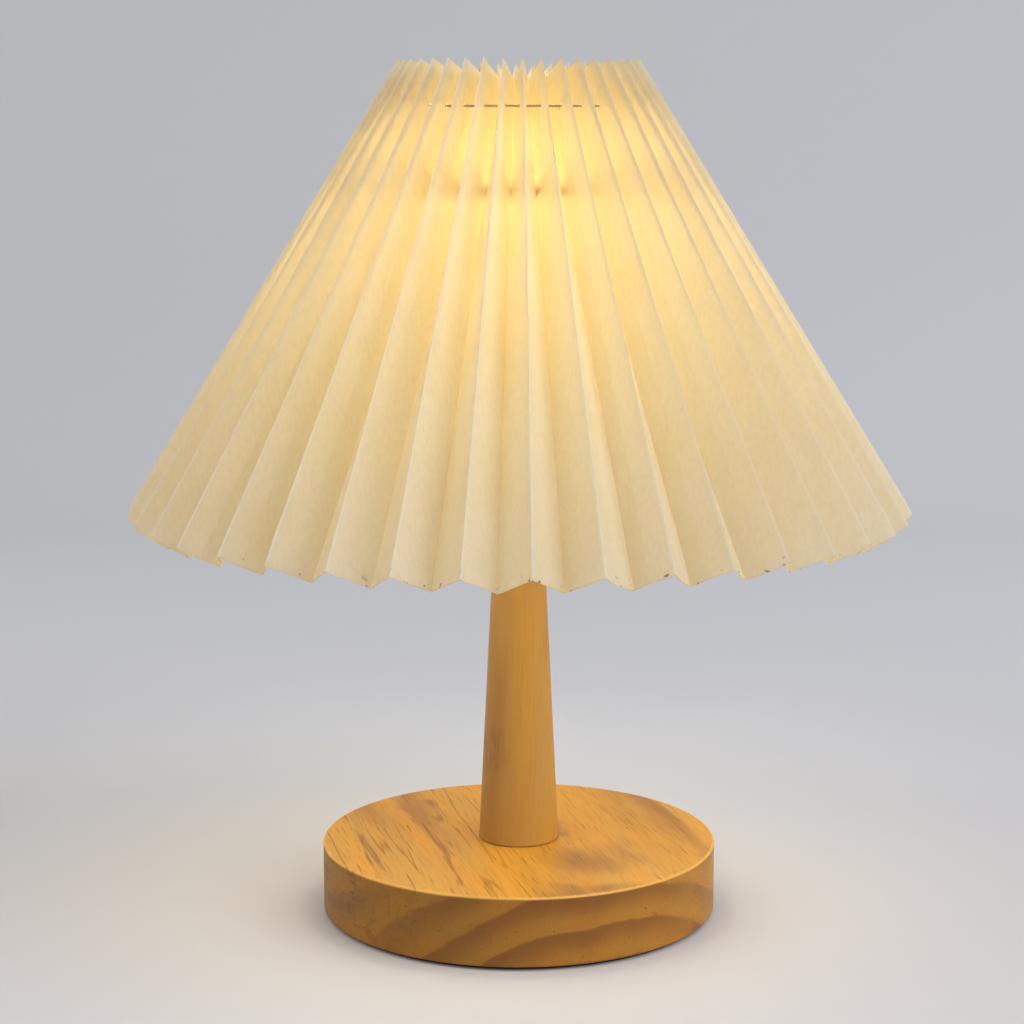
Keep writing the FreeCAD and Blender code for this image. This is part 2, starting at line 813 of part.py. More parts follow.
terminal_screws = []
for side in (-1, 1):
    word = "neutral" if side < 0 else "live"
    for number, share in ((1, 0.25), (2, 0.75)):
        screw = slotted_screw(
            "%s_screw_%d" % (word, number),
            terminal_screw_radius / 2,
            terminal_screw_radius,
            terminal_screw_height / 2,
            terminal_screw_height / 2,
        )
        across = terminal_offset + terminal_length * share
        screw.setExpression("Placement.Base.x", across.formula)
        screw.setExpression("Placement.Base.y", (terminal_pitch * side / 2).formula)
        screw.setExpression("Placement.Base.z", terminal_low.formula)
        terminal_screws.append(screw)
group("terminal_screws", terminal_screws)

# ---- Two insulated leads: up through the rod, from the terminals to the holder's insert ----

lead_end = terminal_offset + lead_in_terminal


def lead(name, side):
    """One lead: a straight run, a tangent bend and the run up the rod, swept by a circle."""
    body = doc.addObject("PartDesign::Body", name)
    path = new_sketch(body, name + "_path", "XZ_Plane")
    bend = lead_bend_radius.number
    low = lead_run_height.number
    arc_centre = FreeCAD.Vector(bend, low + bend, 0)
    path.addGeometry(
        Part.LineSegment(
            FreeCAD.Vector(lead_end.number, low, 0), FreeCAD.Vector(bend, low, 0)
        ),
        False,
    )
    circle = Part.Circle(arc_centre, FreeCAD.Vector(0, 0, 1), bend)
    path.addGeometry(Part.ArcOfCircle(circle, math.pi, 1.5 * math.pi), False)
    path.addGeometry(
        Part.LineSegment(
            FreeCAD.Vector(0, low + bend, 0), FreeCAD.Vector(0, insert_low.number, 0)
        ),
        False,
    )
    path.addConstraint(Sketcher.Constraint("Coincident", 0, 2, 1, 2))
    path.addConstraint(Sketcher.Constraint("Coincident", 1, 1, 2, 1))
    pin(path, 0, 1, lead_end, lead_run_height)
    pin(path, 0, 2, lead_bend_radius, lead_run_height)
    pin(path, 2, 1, 0, lead_run_height + lead_bend_radius)
    pin(path, 2, 2, 0, insert_low)
    set_radius(path, 1, lead_bend_radius)
    section = new_sketch(body, name + "_section", "XY_Plane")
    circle_at(section, 0, 0, lead_radius)
    section.setExpression("AttachmentOffset.Base.z", insert_low.formula)
    doc.recompute()
    sweep = body.newObject("PartDesign::AdditivePipe", name + "_sweep")
    sweep.Profile = section
    sweep.Spine = (path, ["Edge3", "Edge2", "Edge1"])
    body.Tip = sweep
    body.setExpression("Placement.Base.y", (terminal_pitch * side / 2).formula)
    return keep(name, body)


lead("live_lead", 1)
lead("neutral_lead", -1)

# ---- Lamp holder: cap, skirt with flange and thread, insert, screw shell and contact ----

turned(
    "holder_cap",
    [
        (rod_radius, stem_top),
        (holder_foot_radius, stem_top),
        (holder_radius, stem_top + cap_flare),
        (holder_radius, cap_top),
        (holder_radius - holder_wall, cap_top),
        (holder_radius - holder_wall, stem_top + cap_flare),
        (holder_foot_radius - holder_wall, stem_top + cap_floor),
        (rod_radius, stem_top + cap_floor),
    ],
)

groove_step = (shell_top - collar_low) / (GROOVE_COUNT + 1)
skirt_inner = holder_radius - holder_wall
skirt_corners = [
    (skirt_inner, cap_top),
    (holder_radius, cap_top),
    (holder_radius, flange_low),
    (flange_radius, flange_low),
    (flange_radius, flange_top),
    (thread_radius, flange_top),
    (thread_radius, collar_low),
]
for turn in range(GROOVE_COUNT):
    start = collar_low + groove_step * turn
    skirt_corners.append((thread_radius - thread_depth, start + groove_step * 0.5))
    skirt_corners.append((thread_radius, start + groove_step))
skirt_corners.append((thread_radius, shell_top))
skirt_corners.append((skirt_inner, shell_top))
turned("holder_shell", skirt_corners)

insert_radius = holder_radius - holder_wall - insert_gap
holder_insert = turned(
    "holder_insert",
    [(0, insert_low), (insert_radius, insert_low), (insert_radius, cap_top), (0, cap_top)],
)
screw_shell_inner = screw_shell_radius - screw_shell_wall
turned(
    "screw_shell",
    [
        (screw_shell_inner, cap_top),
        (screw_shell_radius, cap_top),
        (screw_shell_radius, cap_top + screw_shell_height),
        (screw_shell_inner, cap_top + screw_shell_height),
    ],
)
contact_foot = solid(
    "Box",
    "contact_foot",
    {
        "Length": contact_length / 2,
        "Width": contact_width,
        "Height": contact_rise + contact_thickness,
    },
    (contact_length / -2, contact_width / -2, cap_top),
)
contact_tongue = solid(
    "Box",
    "contact_tongue",
    {"Length": contact_length, "Width": contact_width, "Height": contact_thickness},
    (contact_length / -2, contact_width / -2, cap_top + contact_rise),
)
contact_relief = solid(
    "Box",
    "contact_relief",
    {
        "Length": contact_length / 2,
        "Width": contact_width,
        "Height": contact_rise,
    },
    (contact_length / -2 + contact_thickness * 2, contact_width / -2, cap_top),
)
contact_blank = joined("contact_blank", [contact_foot, contact_tongue])
keep("centre_contact", cut_from("centre_contact", contact_blank, contact_relief))

# ---- Collar that screws down on the fitter plate of the shade carrier ----

turned(
    "shade_collar",
    [
        (thread_radius + collar_gap, collar_low),
        (collar_radius, collar_low),
        (collar_radius, collar_low + collar_height),
        (thread_radius + collar_gap, collar_low + collar_height),
    ],
)

# ---- Shade carrier: fitter plate, ring and three bent wire arms ----

fitter_plate = turned(
    "fitter_plate",
    [
        (fitter_hole_radius, fitter_low),
        (fitter_radius, fitter_low),
        (fitter_radius, fitter_top),
        (fitter_hole_radius, fitter_top),
    ],
)
carrier_ring = solid(
    "Torus",
    "carrier_ring",
    {"Radius1": ring_radius, "Radius2": wire_radius},
    (0, 0, ring_height),
)
keep("carrier_ring", carrier_ring)

arm_start = fitter_radius - wire_radius
arm_knee = fitter_radius + arm_reach
arm_level = fitter_low + fitter_thickness / 2


def carrier_arm(index):
    """A wire out from the plate and up to the ring, bent once, trimmed to fit both."""
    name = "carrier_arm_%d" % (index + 1)
    inner = (arm_start, arm_level)
    outer = (ring_radius, ring_height)
    run = outer[0] - arm_knee
    climb = outer[1] - arm_level
    slant = root(run * run + climb * climb)
    # The tangent length of an arc between a level run and one that climbs at this slope
    tangent = arm_bend_radius * (slant - run) / climb
    level_end = arm_knee - tangent
    climb_start = (arm_knee + tangent * run / slant, arm_level + tangent * climb / slant)
    body = doc.addObject("PartDesign::Body", name + "_wire")
    path = new_sketch(body, name + "_path", "XZ_Plane")

    def spot(across, up):
        return FreeCAD.Vector(across.number, up.number, 0)

    path.addGeometry(Part.LineSegment(spot(*inner), spot(level_end, arm_level)), False)
    bend_centre = spot(level_end, arm_level + arm_bend_radius)
    circle = Part.Circle(bend_centre, FreeCAD.Vector(0, 0, 1), arm_bend_radius.number)
    rise = math.atan2(climb.number, run.number)
    path.addGeometry(Part.ArcOfCircle(circle, -math.pi / 2, -math.pi / 2 + rise), False)
    path.addGeometry(Part.LineSegment(spot(*climb_start), spot(*outer)), False)
    path.addConstraint(Sketcher.Constraint("Coincident", 0, 2, 1, 1))
    path.addConstraint(Sketcher.Constraint("Coincident", 1, 2, 2, 1))
    pin(path, 0, 1, *inner)
    pin(path, 0, 2, level_end, arm_level)
    pin(path, 2, 1, *climb_start)
    pin(path, 2, 2, *outer)
    set_radius(path, 1, arm_bend_radius)
    section = new_sketch(body, name + "_section", "YZ_Plane")
    circle_at(section, 0, arm_level, wire_radius)
    section.setExpression("AttachmentOffset.Base.z", arm_start.formula)
    doc.recompute()
    sweep = body.newObject("PartDesign::AdditivePipe", name + "_sweep")
    sweep.Profile = section
    sweep.Spine = (path, ["Edge1", "Edge2", "Edge3"])
    body.Tip = sweep
    body.Placement.Rotation = turned_about_z(around(ARM_COUNT, index, FIRST_ARM_ANGLE))
    trimmed = cut_from(name + "_trimmed", body, carrier_ring)
    keep(name, cut_from(name, trimmed, fitter_plate))


for index in range(ARM_COUNT):
    carrier_arm(index)

# ---- Bulb: tip, insulator, screw cap, housing, driver, board with its chips, globe ----

turned("bulb_tip", [(0, tip_low), (tip_radius / 2, tip_low), (tip_radius, tip_top), (0, tip_top)])
insulator_radius = bulb_cap_radius - bulb_wall * 3
turned(
    "bulb_insulator",
    [(0, tip_top), (tip_radius, tip_top), (insulator_radius, bulb_cap_low), (0, bulb_cap_low)],
)
bulb_cap_inner = bulb_cap_radius - bulb_thread_depth - bulb_wall
cap_corners = [(bulb_cap_inner, bulb_cap_low)]
for turn in range(BULB_THREAD_COUNT):
    start = bulb_cap_low + bulb_thread_pitch * turn
    cap_corners.append((bulb_cap_radius - bulb_thread_depth, start))
    cap_corners.append((bulb_cap_radius, start + bulb_thread_pitch * 0.5))
thread_end = bulb_cap_low + bulb_thread_pitch * BULB_THREAD_COUNT
cap_corners.append((bulb_cap_radius - bulb_thread_depth, thread_end))
cap_corners.append((bulb_cap_radius, thread_end + bulb_thread_depth))
cap_corners.append((bulb_cap_radius, bulb_cap_top))
cap_corners.append((bulb_cap_inner, bulb_cap_top))
turned("bulb_cap", cap_corners)
turned(
    "bulb_housing",
    [
        (bulb_cap_radius - housing_wall, bulb_cap_top),
        (bulb_cap_radius, bulb_cap_top),
        (bulb_neck_radius, housing_top),
        (bulb_neck_radius - housing_wall, housing_top),
    ],
)
board_top = housing_top + board_thickness
globe_inner_radius = globe_radius - globe_wall
neck_drop = root(globe_radius * globe_radius - bulb_neck_radius * bulb_neck_radius)
globe_mouth_radius = root(globe_inner_radius * globe_inner_radius - neck_drop * neck_drop)
board_radius = globe_mouth_radius - board_gap
turned(
    "led_board",
    [(0, housing_top), (board_radius, housing_top), (board_radius, board_top), (0, board_top)],
)
chips = []
for index in range(LED_COUNT):
    angle = around(LED_COUNT, index)
    turn = math.radians(angle)
    chip = solid(
        "Box",
        "led_chip_%d" % (index + 1),
        {"Length": led_size, "Width": led_size, "Height": led_height},
        (
            led_circle_radius * math.cos(turn) - led_size / 2,
            led_circle_radius * math.sin(turn) - led_size / 2,
            board_top,
        ),
    )
    chips.append(chip)
group("led_chips", chips)
driver = solid(
    "Box",
    "led_driver",
    {"Length": driver_width, "Width": driver_thickness, "Height": driver_height},
    (driver_width / -2, driver_thickness / -2, housing_top - driver_height),
)
keep("led_driver", driver)

# The globe is a shell cut off level where it is as wide as the neck
globe_centre = housing_top + neck_drop
globe_outer = solid("Sphere", "globe_outer", {"Radius": globe_radius}, (0, 0, globe_centre))
globe_inner = solid(
    "Sphere", "globe_inner", {"Radius": globe_inner_radius}, (0, 0, globe_centre)
)
globe_shell = cut_from("globe_shell", globe_outer, globe_inner)
globe_cut = solid(
    "Cylinder",
    "globe_cut",
    {"Radius": globe_radius * 2, "Height": globe_radius * 2},
    (0, 0, housing_top - globe_radius * 2),
)
keep("bulb_globe", cut_from("bulb_globe", globe_shell, globe_cut))

# ---- Paper shade: one closed folded strip, with a hole in every panel for the lace ----


def fold_lines(radius, depth, slant_step):
    """The outer and inner faces of the paper at one end: (radius, height drop) at each fold."""
    spacing = radius * math.sin(math.pi / PLEAT_COUNT)
    wall = paper_thickness.number * math.hypot(spacing, depth) / spacing
    lines = {}
    for word, inward in (
        ("ridge_outside", 0.0),
        ("ridge_inside", wall),
        ("valley_outside", depth - wall),
        ("valley_inside", depth),
    ):
        lines[word] = (radius - inward * slope_in.number, inward * slope_down.number)
    return lines


def folded_strip():
    """The pleated shell, sewn from ruled panels between its folds."""
    top = fold_lines(shade_top_radius.number, pleat_depth_top.number, slope_in.number)
    low = fold_lines(shade_low_radius.number, pleat_depth_low.number, slope_in.number)

    def point(lines, word, fold, height):
        radius, drop = lines[word]
        turn = math.radians(fold * 180.0 / PLEAT_COUNT + pleat_turn.number - 90.0)
        return FreeCAD.Vector(
            radius * math.cos(turn), radius * math.sin(turn), height - drop
        )

    faces = []
    for fold in range(2 * PLEAT_COUNT):
        here, there = ("ridge", "valley") if fold % 2 == 0 else ("valley", "ridge")
        edges = {}
        for side in ("outside", "inside"):
            for end, lines, height in (("top", top, shade_top), ("low", low, shade_low)):
                start = point(lines, here + "_" + side, fold, height.number)
                stop = point(lines, there + "_" + side, fold + 1, height.number)
                edges[side, end] = Part.LineSegment(start, stop).toShape()
        for one, other in (
            (("outside", "top"), ("outside", "low")),
            (("inside", "top"), ("inside", "low")),
            (("outside", "top"), ("inside", "top")),
            (("outside", "low"), ("inside", "low")),
        ):
            faces.append(Part.makeRuledSurface(edges[one], edges[other]))
    shell = Part.makeShell(faces)
    shell.sewShape()
    strip = Part.makeSolid(shell)
    if strip.Volume < 0:
        strip.reverse()
    return strip


folded_paper = doc.addObject("Part::Feature", "folded_paper")
doc.recompute()
folded_paper.Shape = folded_strip()
lace_tunnel = solid(
    "Torus",
    "lace_tunnel",
    {"Radius1": lace_ring_radius, "Radius2": lace_radius + lace_hole_gap},
    (0, 0, lace_height),
)
keep("paper_shade", cut_from("paper_shade", folded_paper, lace_tunnel))

# ---- Lace through the holes, knotted in the valley at the back ----

# The loop stops short inside the knot
knot_angle = (PLEAT_COUNT + 1) * 180.0 / PLEAT_COUNT + pleat_turn.number - 90.0
knot_turn = math.radians(knot_angle)
loop_gap_angle = math.degrees(knot_radius.number / lace_ring_radius.number)
lace_loop = solid(
    "Torus",
    "lace_loop",
    {"Radius1": lace_ring_radius, "Radius2": lace_radius},
    (0, 0, lace_height),
)
lace_loop.Angle3 = 360.0 - loop_gap_angle
lace_loop.Placement.Rotation = turned_about_z(knot_angle + loop_gap_angle / 2)
knot = solid(
    "Sphere",
    "lace_knot",
    {"Radius": knot_radius},
    (
        lace_ring_radius * math.cos(knot_turn),
        lace_ring_radius * math.sin(knot_turn),
        lace_height,
    ),
)
knot.Placement.Rotation = turned_about_z(knot_angle)
keep("shade_lace", joined("shade_lace", [lace_loop, knot]))

# ---- Check everything, then write one file for each sub-part ----

doc.recompute()
for thing in doc.Objects:
    if "Invalid" in thing.State or "Error" in thing.State:
        raise RuntimeError(thing.Name + " failed")
for name, thing in parts.items():
    if thing.Shape.isNull() or not thing.Shape.isValid():
        raise RuntimeError(name + " has no valid shape")

os.makedirs("parts", exist_ok=True)
for name, thing in parts.items():
    thing.Shape.exportStep("parts/" + name + ".step")
    print("%-18s %2d solids %11.1f mm3" % (name, len(thing.Shape.Solids), thing.Shape.Volume))
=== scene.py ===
"""The looks of a pleated paper table lamp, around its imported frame. Lengths are in metres."""

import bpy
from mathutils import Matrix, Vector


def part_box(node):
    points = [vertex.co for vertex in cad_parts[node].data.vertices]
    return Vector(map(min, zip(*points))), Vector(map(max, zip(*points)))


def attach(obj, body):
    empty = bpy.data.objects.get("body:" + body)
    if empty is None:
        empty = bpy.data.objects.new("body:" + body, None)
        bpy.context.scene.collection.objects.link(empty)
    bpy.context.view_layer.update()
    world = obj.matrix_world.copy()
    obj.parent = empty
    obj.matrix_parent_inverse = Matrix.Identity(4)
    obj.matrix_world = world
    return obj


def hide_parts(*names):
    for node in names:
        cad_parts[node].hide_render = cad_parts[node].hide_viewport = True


bl_info = {
    "name": "Pleated Paper Lamp",
    "version": (1, 0, 0),
    "blender": (4, 5, 0),
    "location": "View3D > Sidebar > Paper Lamp",
    "description": "Builds the finish of a wooden table lamp with a pleated paper shade",
    "category": "Object",
}

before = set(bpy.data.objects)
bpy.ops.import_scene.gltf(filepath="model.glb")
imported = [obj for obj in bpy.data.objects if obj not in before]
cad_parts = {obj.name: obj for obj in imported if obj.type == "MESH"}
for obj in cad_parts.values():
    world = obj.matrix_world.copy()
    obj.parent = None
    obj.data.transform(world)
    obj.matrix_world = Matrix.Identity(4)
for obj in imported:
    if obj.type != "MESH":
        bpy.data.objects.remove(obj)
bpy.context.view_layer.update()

import math

import bmesh
import bpy
from mathutils import Matrix, Vector, noise

FRONT = -math.pi / 2
WELD = 1e-6

# The paper. Both faces of the folded strip are as wide as its panels added up, and as long as
# their slope
SHADE_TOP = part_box("paper_shade")[1][2]
PLEATS = 40
PLEAT_TURN = math.radians(1.5)
PLEAT_WELD = 2e-5
PANEL_ROWS = 30
PANEL_COLUMNS = 6
# How far a fold strays round the shade by itself and with its neighbours, and in or out
FOLD_STRAY = 0.0016
WAVE_STRAY = 0.0016
DEPTH_STRAY = 0.0010
PANEL_BOW = 0.0009
PANEL_SINK = 0.0002
RIM_STRAY = 0.0005
RIM_MARGIN = 0.0003

# The lace, its holes and its knot
LACE_RADIUS = 0.0006
LACE_HOLE_RADIUS = 0.00095
LACE_END = 0.0062
LACE_END_LEANS = (-0.28, 0.34)
LACE_TWIST = {"strands": 3, "strand": 0.00019, "spread": 0.00021, "pitch": 0.0026}
KNOT_GAP = 0.0007
KNOT_COIL = {
    "strands": 1, "strand": 0.00042, "spread": 0.00052, "pitch": 0.00062, "length": 0.0016,
    "sides": 8, "steps": 16,
}

# The ring that clamps the carrier
COLLAR_RIBS = 36
COLLAR_RIB_DEPTH = 0.0008
COLLAR_BORE = 0.0195
COLLAR_CHAMFER = 0.0006

# The bulb's cap, and the two lights that stand for its globe: one in it, and one above it, for
# the light that the shade's inside throws back
CAP_THREAD_PITCH = 0.00363
CAP_THREAD_DEPTH = 0.0009
CAP_WALL = 0.0004
CAP_ROWS = 72
LOW_GLOW_SHARE = 0.65
LOW_GLOW_RADIUS = 0.024
HIGH_GLOW_SHARE = 0.35
HIGH_GLOW_RADIUS = 0.016
HIGH_GLOW_RISE = 0.018

# The stage: lights as name, place, width, watts and colour
LIGHTS_AIM = (0.0, 0.0, 0.10)
LIGHTS = (
    ("key_light", (1.5, -0.7, 1.3), 1.7, 20.5, (0.94, 0.97, 1.0)),
    ("fill_light", (-1.4, -0.6, 1.5), 1.6, 9.5, (1.0, 0.91, 0.72)),
)
# A faint disc of light in the mouth of the shade, for the base and the floor
UNDER_GLOW_PLACE = (0.0, 0.0, 0.131)
UNDER_GLOW_WIDTH = 0.18
UNDER_GLOW_POWER = 0.075
SKY_COLOUR = (0.93, 0.95, 1.0, 1.0)
SKY_STRENGTH = 0.52
CAMERA_LENS = 84.76
CAMERA_SENSOR = 36.0
CAMERA_PLACE = (-0.0023, -0.7947, 0.2668)
CAMERA_TILT = math.radians(90.0 - 9.325)


# ---- Settings that a user would change ----


class PaperShadeSettings(bpy.types.PropertyGroup):
    """Sizes and colours of the pleated paper"""

    low_radius: bpy.props.FloatProperty(
        name="Rim radius", description="Radius of the outer folds at the rim",
        default=0.130, subtype="DISTANCE",
    )
    top_radius: bpy.props.FloatProperty(
        name="Top radius", description="Radius of the outer folds at the top",
        default=0.0392, subtype="DISTANCE",
    )
    height: bpy.props.FloatProperty(
        name="Height", description="Height from the outer folds' lower ends to the top",
        default=0.1467, subtype="DISTANCE",
    )
    depth_low: bpy.props.FloatProperty(
        name="Pleat depth at the rim", description="Depth of a pleat, square to the slope",
        default=0.0106, subtype="DISTANCE",
    )
    depth_top: bpy.props.FloatProperty(
        name="Pleat depth at the top", description="Depth of a pleat, square to the slope",
        default=0.0138, subtype="DISTANCE",
    )
    thickness: bpy.props.FloatProperty(
        name="Paper thickness", description="Thickness of the laminated paper",
        default=0.00035, subtype="DISTANCE",
    )
    reflected: bpy.props.FloatVectorProperty(
        name="Paper colour", description="Colour of the paper in light from outside",
        default=(0.87, 0.82, 0.74), subtype="COLOR", min=0.0, max=1.0,
    )
    passed: bpy.props.FloatVectorProperty(
        name="Colour of light through the paper", description="Tint of the light let through",
        default=(0.97, 0.88, 0.60), subtype="COLOR", min=0.0, max=1.0,
    )
    share_passed: bpy.props.FloatProperty(
        name="Light let through", description="Share of the light that goes through a sheet",
        default=0.52, min=0.0, max=1.0,
    )


class WoodSettings(bpy.types.PropertyGroup):
    """Oiled wood's colours"""

    pale: bpy.props.FloatVectorProperty(
        name="Early wood", description="Colour of the pale wood between the growth lines",
        default=(0.67, 0.355, 0.056), subtype="COLOR", min=0.0, max=1.0,
    )
    dark: bpy.props.FloatVectorProperty(
        name="Late wood", description="Colour of the dark growth lines",
        default=(0.34, 0.145, 0.025), subtype="COLOR", min=0.0, max=1.0,
    )


class StageSettings(bpy.types.PropertyGroup):
    """Colours of the floor and backdrop, and the light in the bulb"""

    floor: bpy.props.FloatVectorProperty(
        name="Floor colour", description="Colour of the plain floor",
        default=(0.62, 0.615, 0.665), subtype="COLOR", min=0.0, max=1.0,
    )
    wall: bpy.props.FloatVectorProperty(
        name="Backdrop colour", description="Colour of the plain backdrop",
        default=(0.625, 0.63, 0.655), subtype="COLOR", min=0.0, max=1.0,
    )
    bulb_power: bpy.props.FloatProperty(
        name="Bulb power", description="Power of the light in the bulb, in watts",
        default=0.74, min=0.0,
    )
    bulb_colour: bpy.props.FloatVectorProperty(
        name="Bulb colour", description="Colour of the light in the bulb",
        default=(1.0, 0.91, 0.70), subtype="COLOR", min=0.0, max=1.0,
    )


# ---- Shader maths ----


class Signal:
    """A socket of a material that Python's own signs work on."""

    def __init__(self, finish, socket):
        self.finish = finish
        self.socket = socket

    def worked(self, operation, *values):
        return self.finish.node("ShaderNodeMath", {"operation": operation}, values)

    def __add__(self, other):
        return self.worked("ADD", self, other)

    __radd__ = __add__

    def __sub__(self, other):
        return self.worked("SUBTRACT", self, other)

    def __rsub__(self, other):
        return self.worked("SUBTRACT", other, self)

    def __mul__(self, other):
        return self.worked("MULTIPLY", self, other)

    __rmul__ = __mul__

    def __truediv__(self, other):
        return self.worked("DIVIDE", self, other)

    def fraction(self):
        return self.worked("FRACT", self)

    def size(self):
        return self.worked("ABSOLUTE", self)

    def root(self):
        return self.worked("SQRT", self)

    def clamped(self):
        """The value held between 0 and 1."""
        return self.finish.node(
            "ShaderNodeMath", {"operation": "ADD", "use_clamp": True}, (self, 0.0)
        )

    def between(self, low, high):
        """0 below low, 1 above high, and a smooth step from one to the other."""
        return self.finish.node(
            "ShaderNodeMapRange",
            {"interpolation_type": "SMOOTHSTEP"},
            {"Value": self, "From Min": low, "From Max": high},
        )


class Finish:
    """One material: its nodes are made by node(), and its shader is set by surface()."""

    def __init__(self, name):
        self.material = bpy.data.materials.new(name)
        self.material.use_nodes = True
        self.tree = self.material.node_tree
        self.tree.nodes.clear()
        self.output = self.tree.nodes.new("ShaderNodeOutputMaterial")
        self.place = self.node("ShaderNodeTexCoord", {}, {}, "Object")

    def put(self, socket, value):
        """Link a socket to a signal, or write a value in it. A colour may leave out its alpha."""
        if isinstance(value, Signal):
            self.tree.links.new(value.socket, socket)
        elif hasattr(value, "__len__") and len(socket.default_value) == len(value) + 1:
            socket.default_value = (*value, 1.0)
        else:
            socket.default_value = value

    def node(self, kind, settings, values, output=0):
        """A node with its settings, then the values or links of its sockets."""
        made = self.tree.nodes.new(kind)
        for name, value in settings.items():
            setattr(made, name, value)
        pairs = values.items() if isinstance(values, dict) else enumerate(values)
        for name, value in pairs:
            self.put(made.inputs[name], value)
        return Signal(self, made.outputs[output])

    def mapped(self, scale, vector=None):
        """A vector, or else the place on the piece, stretched by a scale."""
        return self.node(
            "ShaderNodeMapping", {}, {"Vector": vector or self.place, "Scale": scale}
        )

    def noise(self, place, scale, detail=3.0, roughness=0.5):
        return self.node(
            "ShaderNodeTexNoise",
            {},
            {"Vector": place, "Scale": scale, "Detail": detail, "Roughness": roughness},
        )

    def mixed(self, share, one, other, blend="MIX"):
        return self.node(
            "ShaderNodeMix",
            {"data_type": "RGBA", "blend_type": blend},
            {0: share, 6: one, 7: other},
            2,
        )

    def measured(self, way, origin):
        """How far a place lies along a direction from an origin."""
        offset = self.node(
            "ShaderNodeVectorMath", {"operation": "SUBTRACT"}, {0: self.place, 1: origin}
        )
        return self.node(
            "ShaderNodeVectorMath", {"operation": "DOT_PRODUCT"}, {0: offset, 1: tuple(way)}, 1
        )

    def parts(self, vector):
        """The three parts of a vector."""
        made = self.tree.nodes.new("ShaderNodeSeparateXYZ")
        self.put(made.inputs[0], vector)
        return [Signal(self, output) for output in made.outputs]

    def bumped(self, height, distance, strength):
        return self.node(
            "ShaderNodeBump", {}, {"Height": height, "Distance": distance, "Strength": strength}
        )

    def principled(self, **sockets):
        """The plain shader, with its sockets' names written with underscores."""
        values = {name.replace("_", " "): value for name, value in sockets.items()}
        return self.node("ShaderNodeBsdfPrincipled", {}, values)

    def surface(self, shader):
        self.tree.links.new(shader.socket, self.output.inputs["Surface"])
        return self.material


# ---- Helpers ----


def toned(colour, shares):
    """A colour with its channels scaled, all by one share or each by its own."""
    if not isinstance(shares, tuple):
        shares = (shares,) * 3
    return tuple(channel * share for channel, share in zip(colour, shares))


def ramped(distance, width):
    """0 below a distance of 0, 1 past a width, and a straight line between the two."""
    return min(1.0, max(0.0, distance / width))


def finished(bm, name, materials, smooth=True):
    """Turn a bmesh into an object of the scene, with its materials."""
    for face in bm.faces:
        face.smooth = smooth
    mesh = bpy.data.meshes.new(name)
    bm.to_mesh(mesh)
    bm.free()
    made = bpy.data.objects.new(name, mesh)
    bpy.context.scene.collection.objects.link(made)
    for material in materials:
        mesh.materials.append(material)
    return made


def lathe(outline, steps):
    """A closed bmesh turned about Z from the (radius, height) points of its outline."""
    bm = bmesh.new()
    points = [bm.verts.new((radius, 0.0, height)) for radius, height in outline]
    edges = [bm.edges.new(pair) for pair in zip(points, points[1:] + points[:1])]
    bmesh.ops.spin(
        bm, geom=points + edges, cent=(0, 0, 0), axis=(0, 0, 1), angle=math.tau,
        steps=steps, use_merge=True,
    )
    bmesh.ops.remove_doubles(bm, verts=bm.verts, dist=WELD)
    bmesh.ops.recalc_face_normals(bm, faces=bm.faces)
    return bm


def sharpen(made, angle=35.0):
    """Keep corners crisp on a smoothly shaded mesh."""
    bm = bmesh.new()
    bm.from_mesh(made.data)
    limit = math.radians(angle)
    for edge in bm.edges:
        if len(edge.link_faces) == 2 and edge.calc_face_angle(0.0) > limit:
            edge.smooth = False
    bm.to_mesh(made.data)
    bm.free()


def dress(node, material):
    """Give a node of the frame its material."""
    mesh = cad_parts[node].data
    mesh.materials.clear()
    mesh.materials.append(material)


# ---- Finishes ----


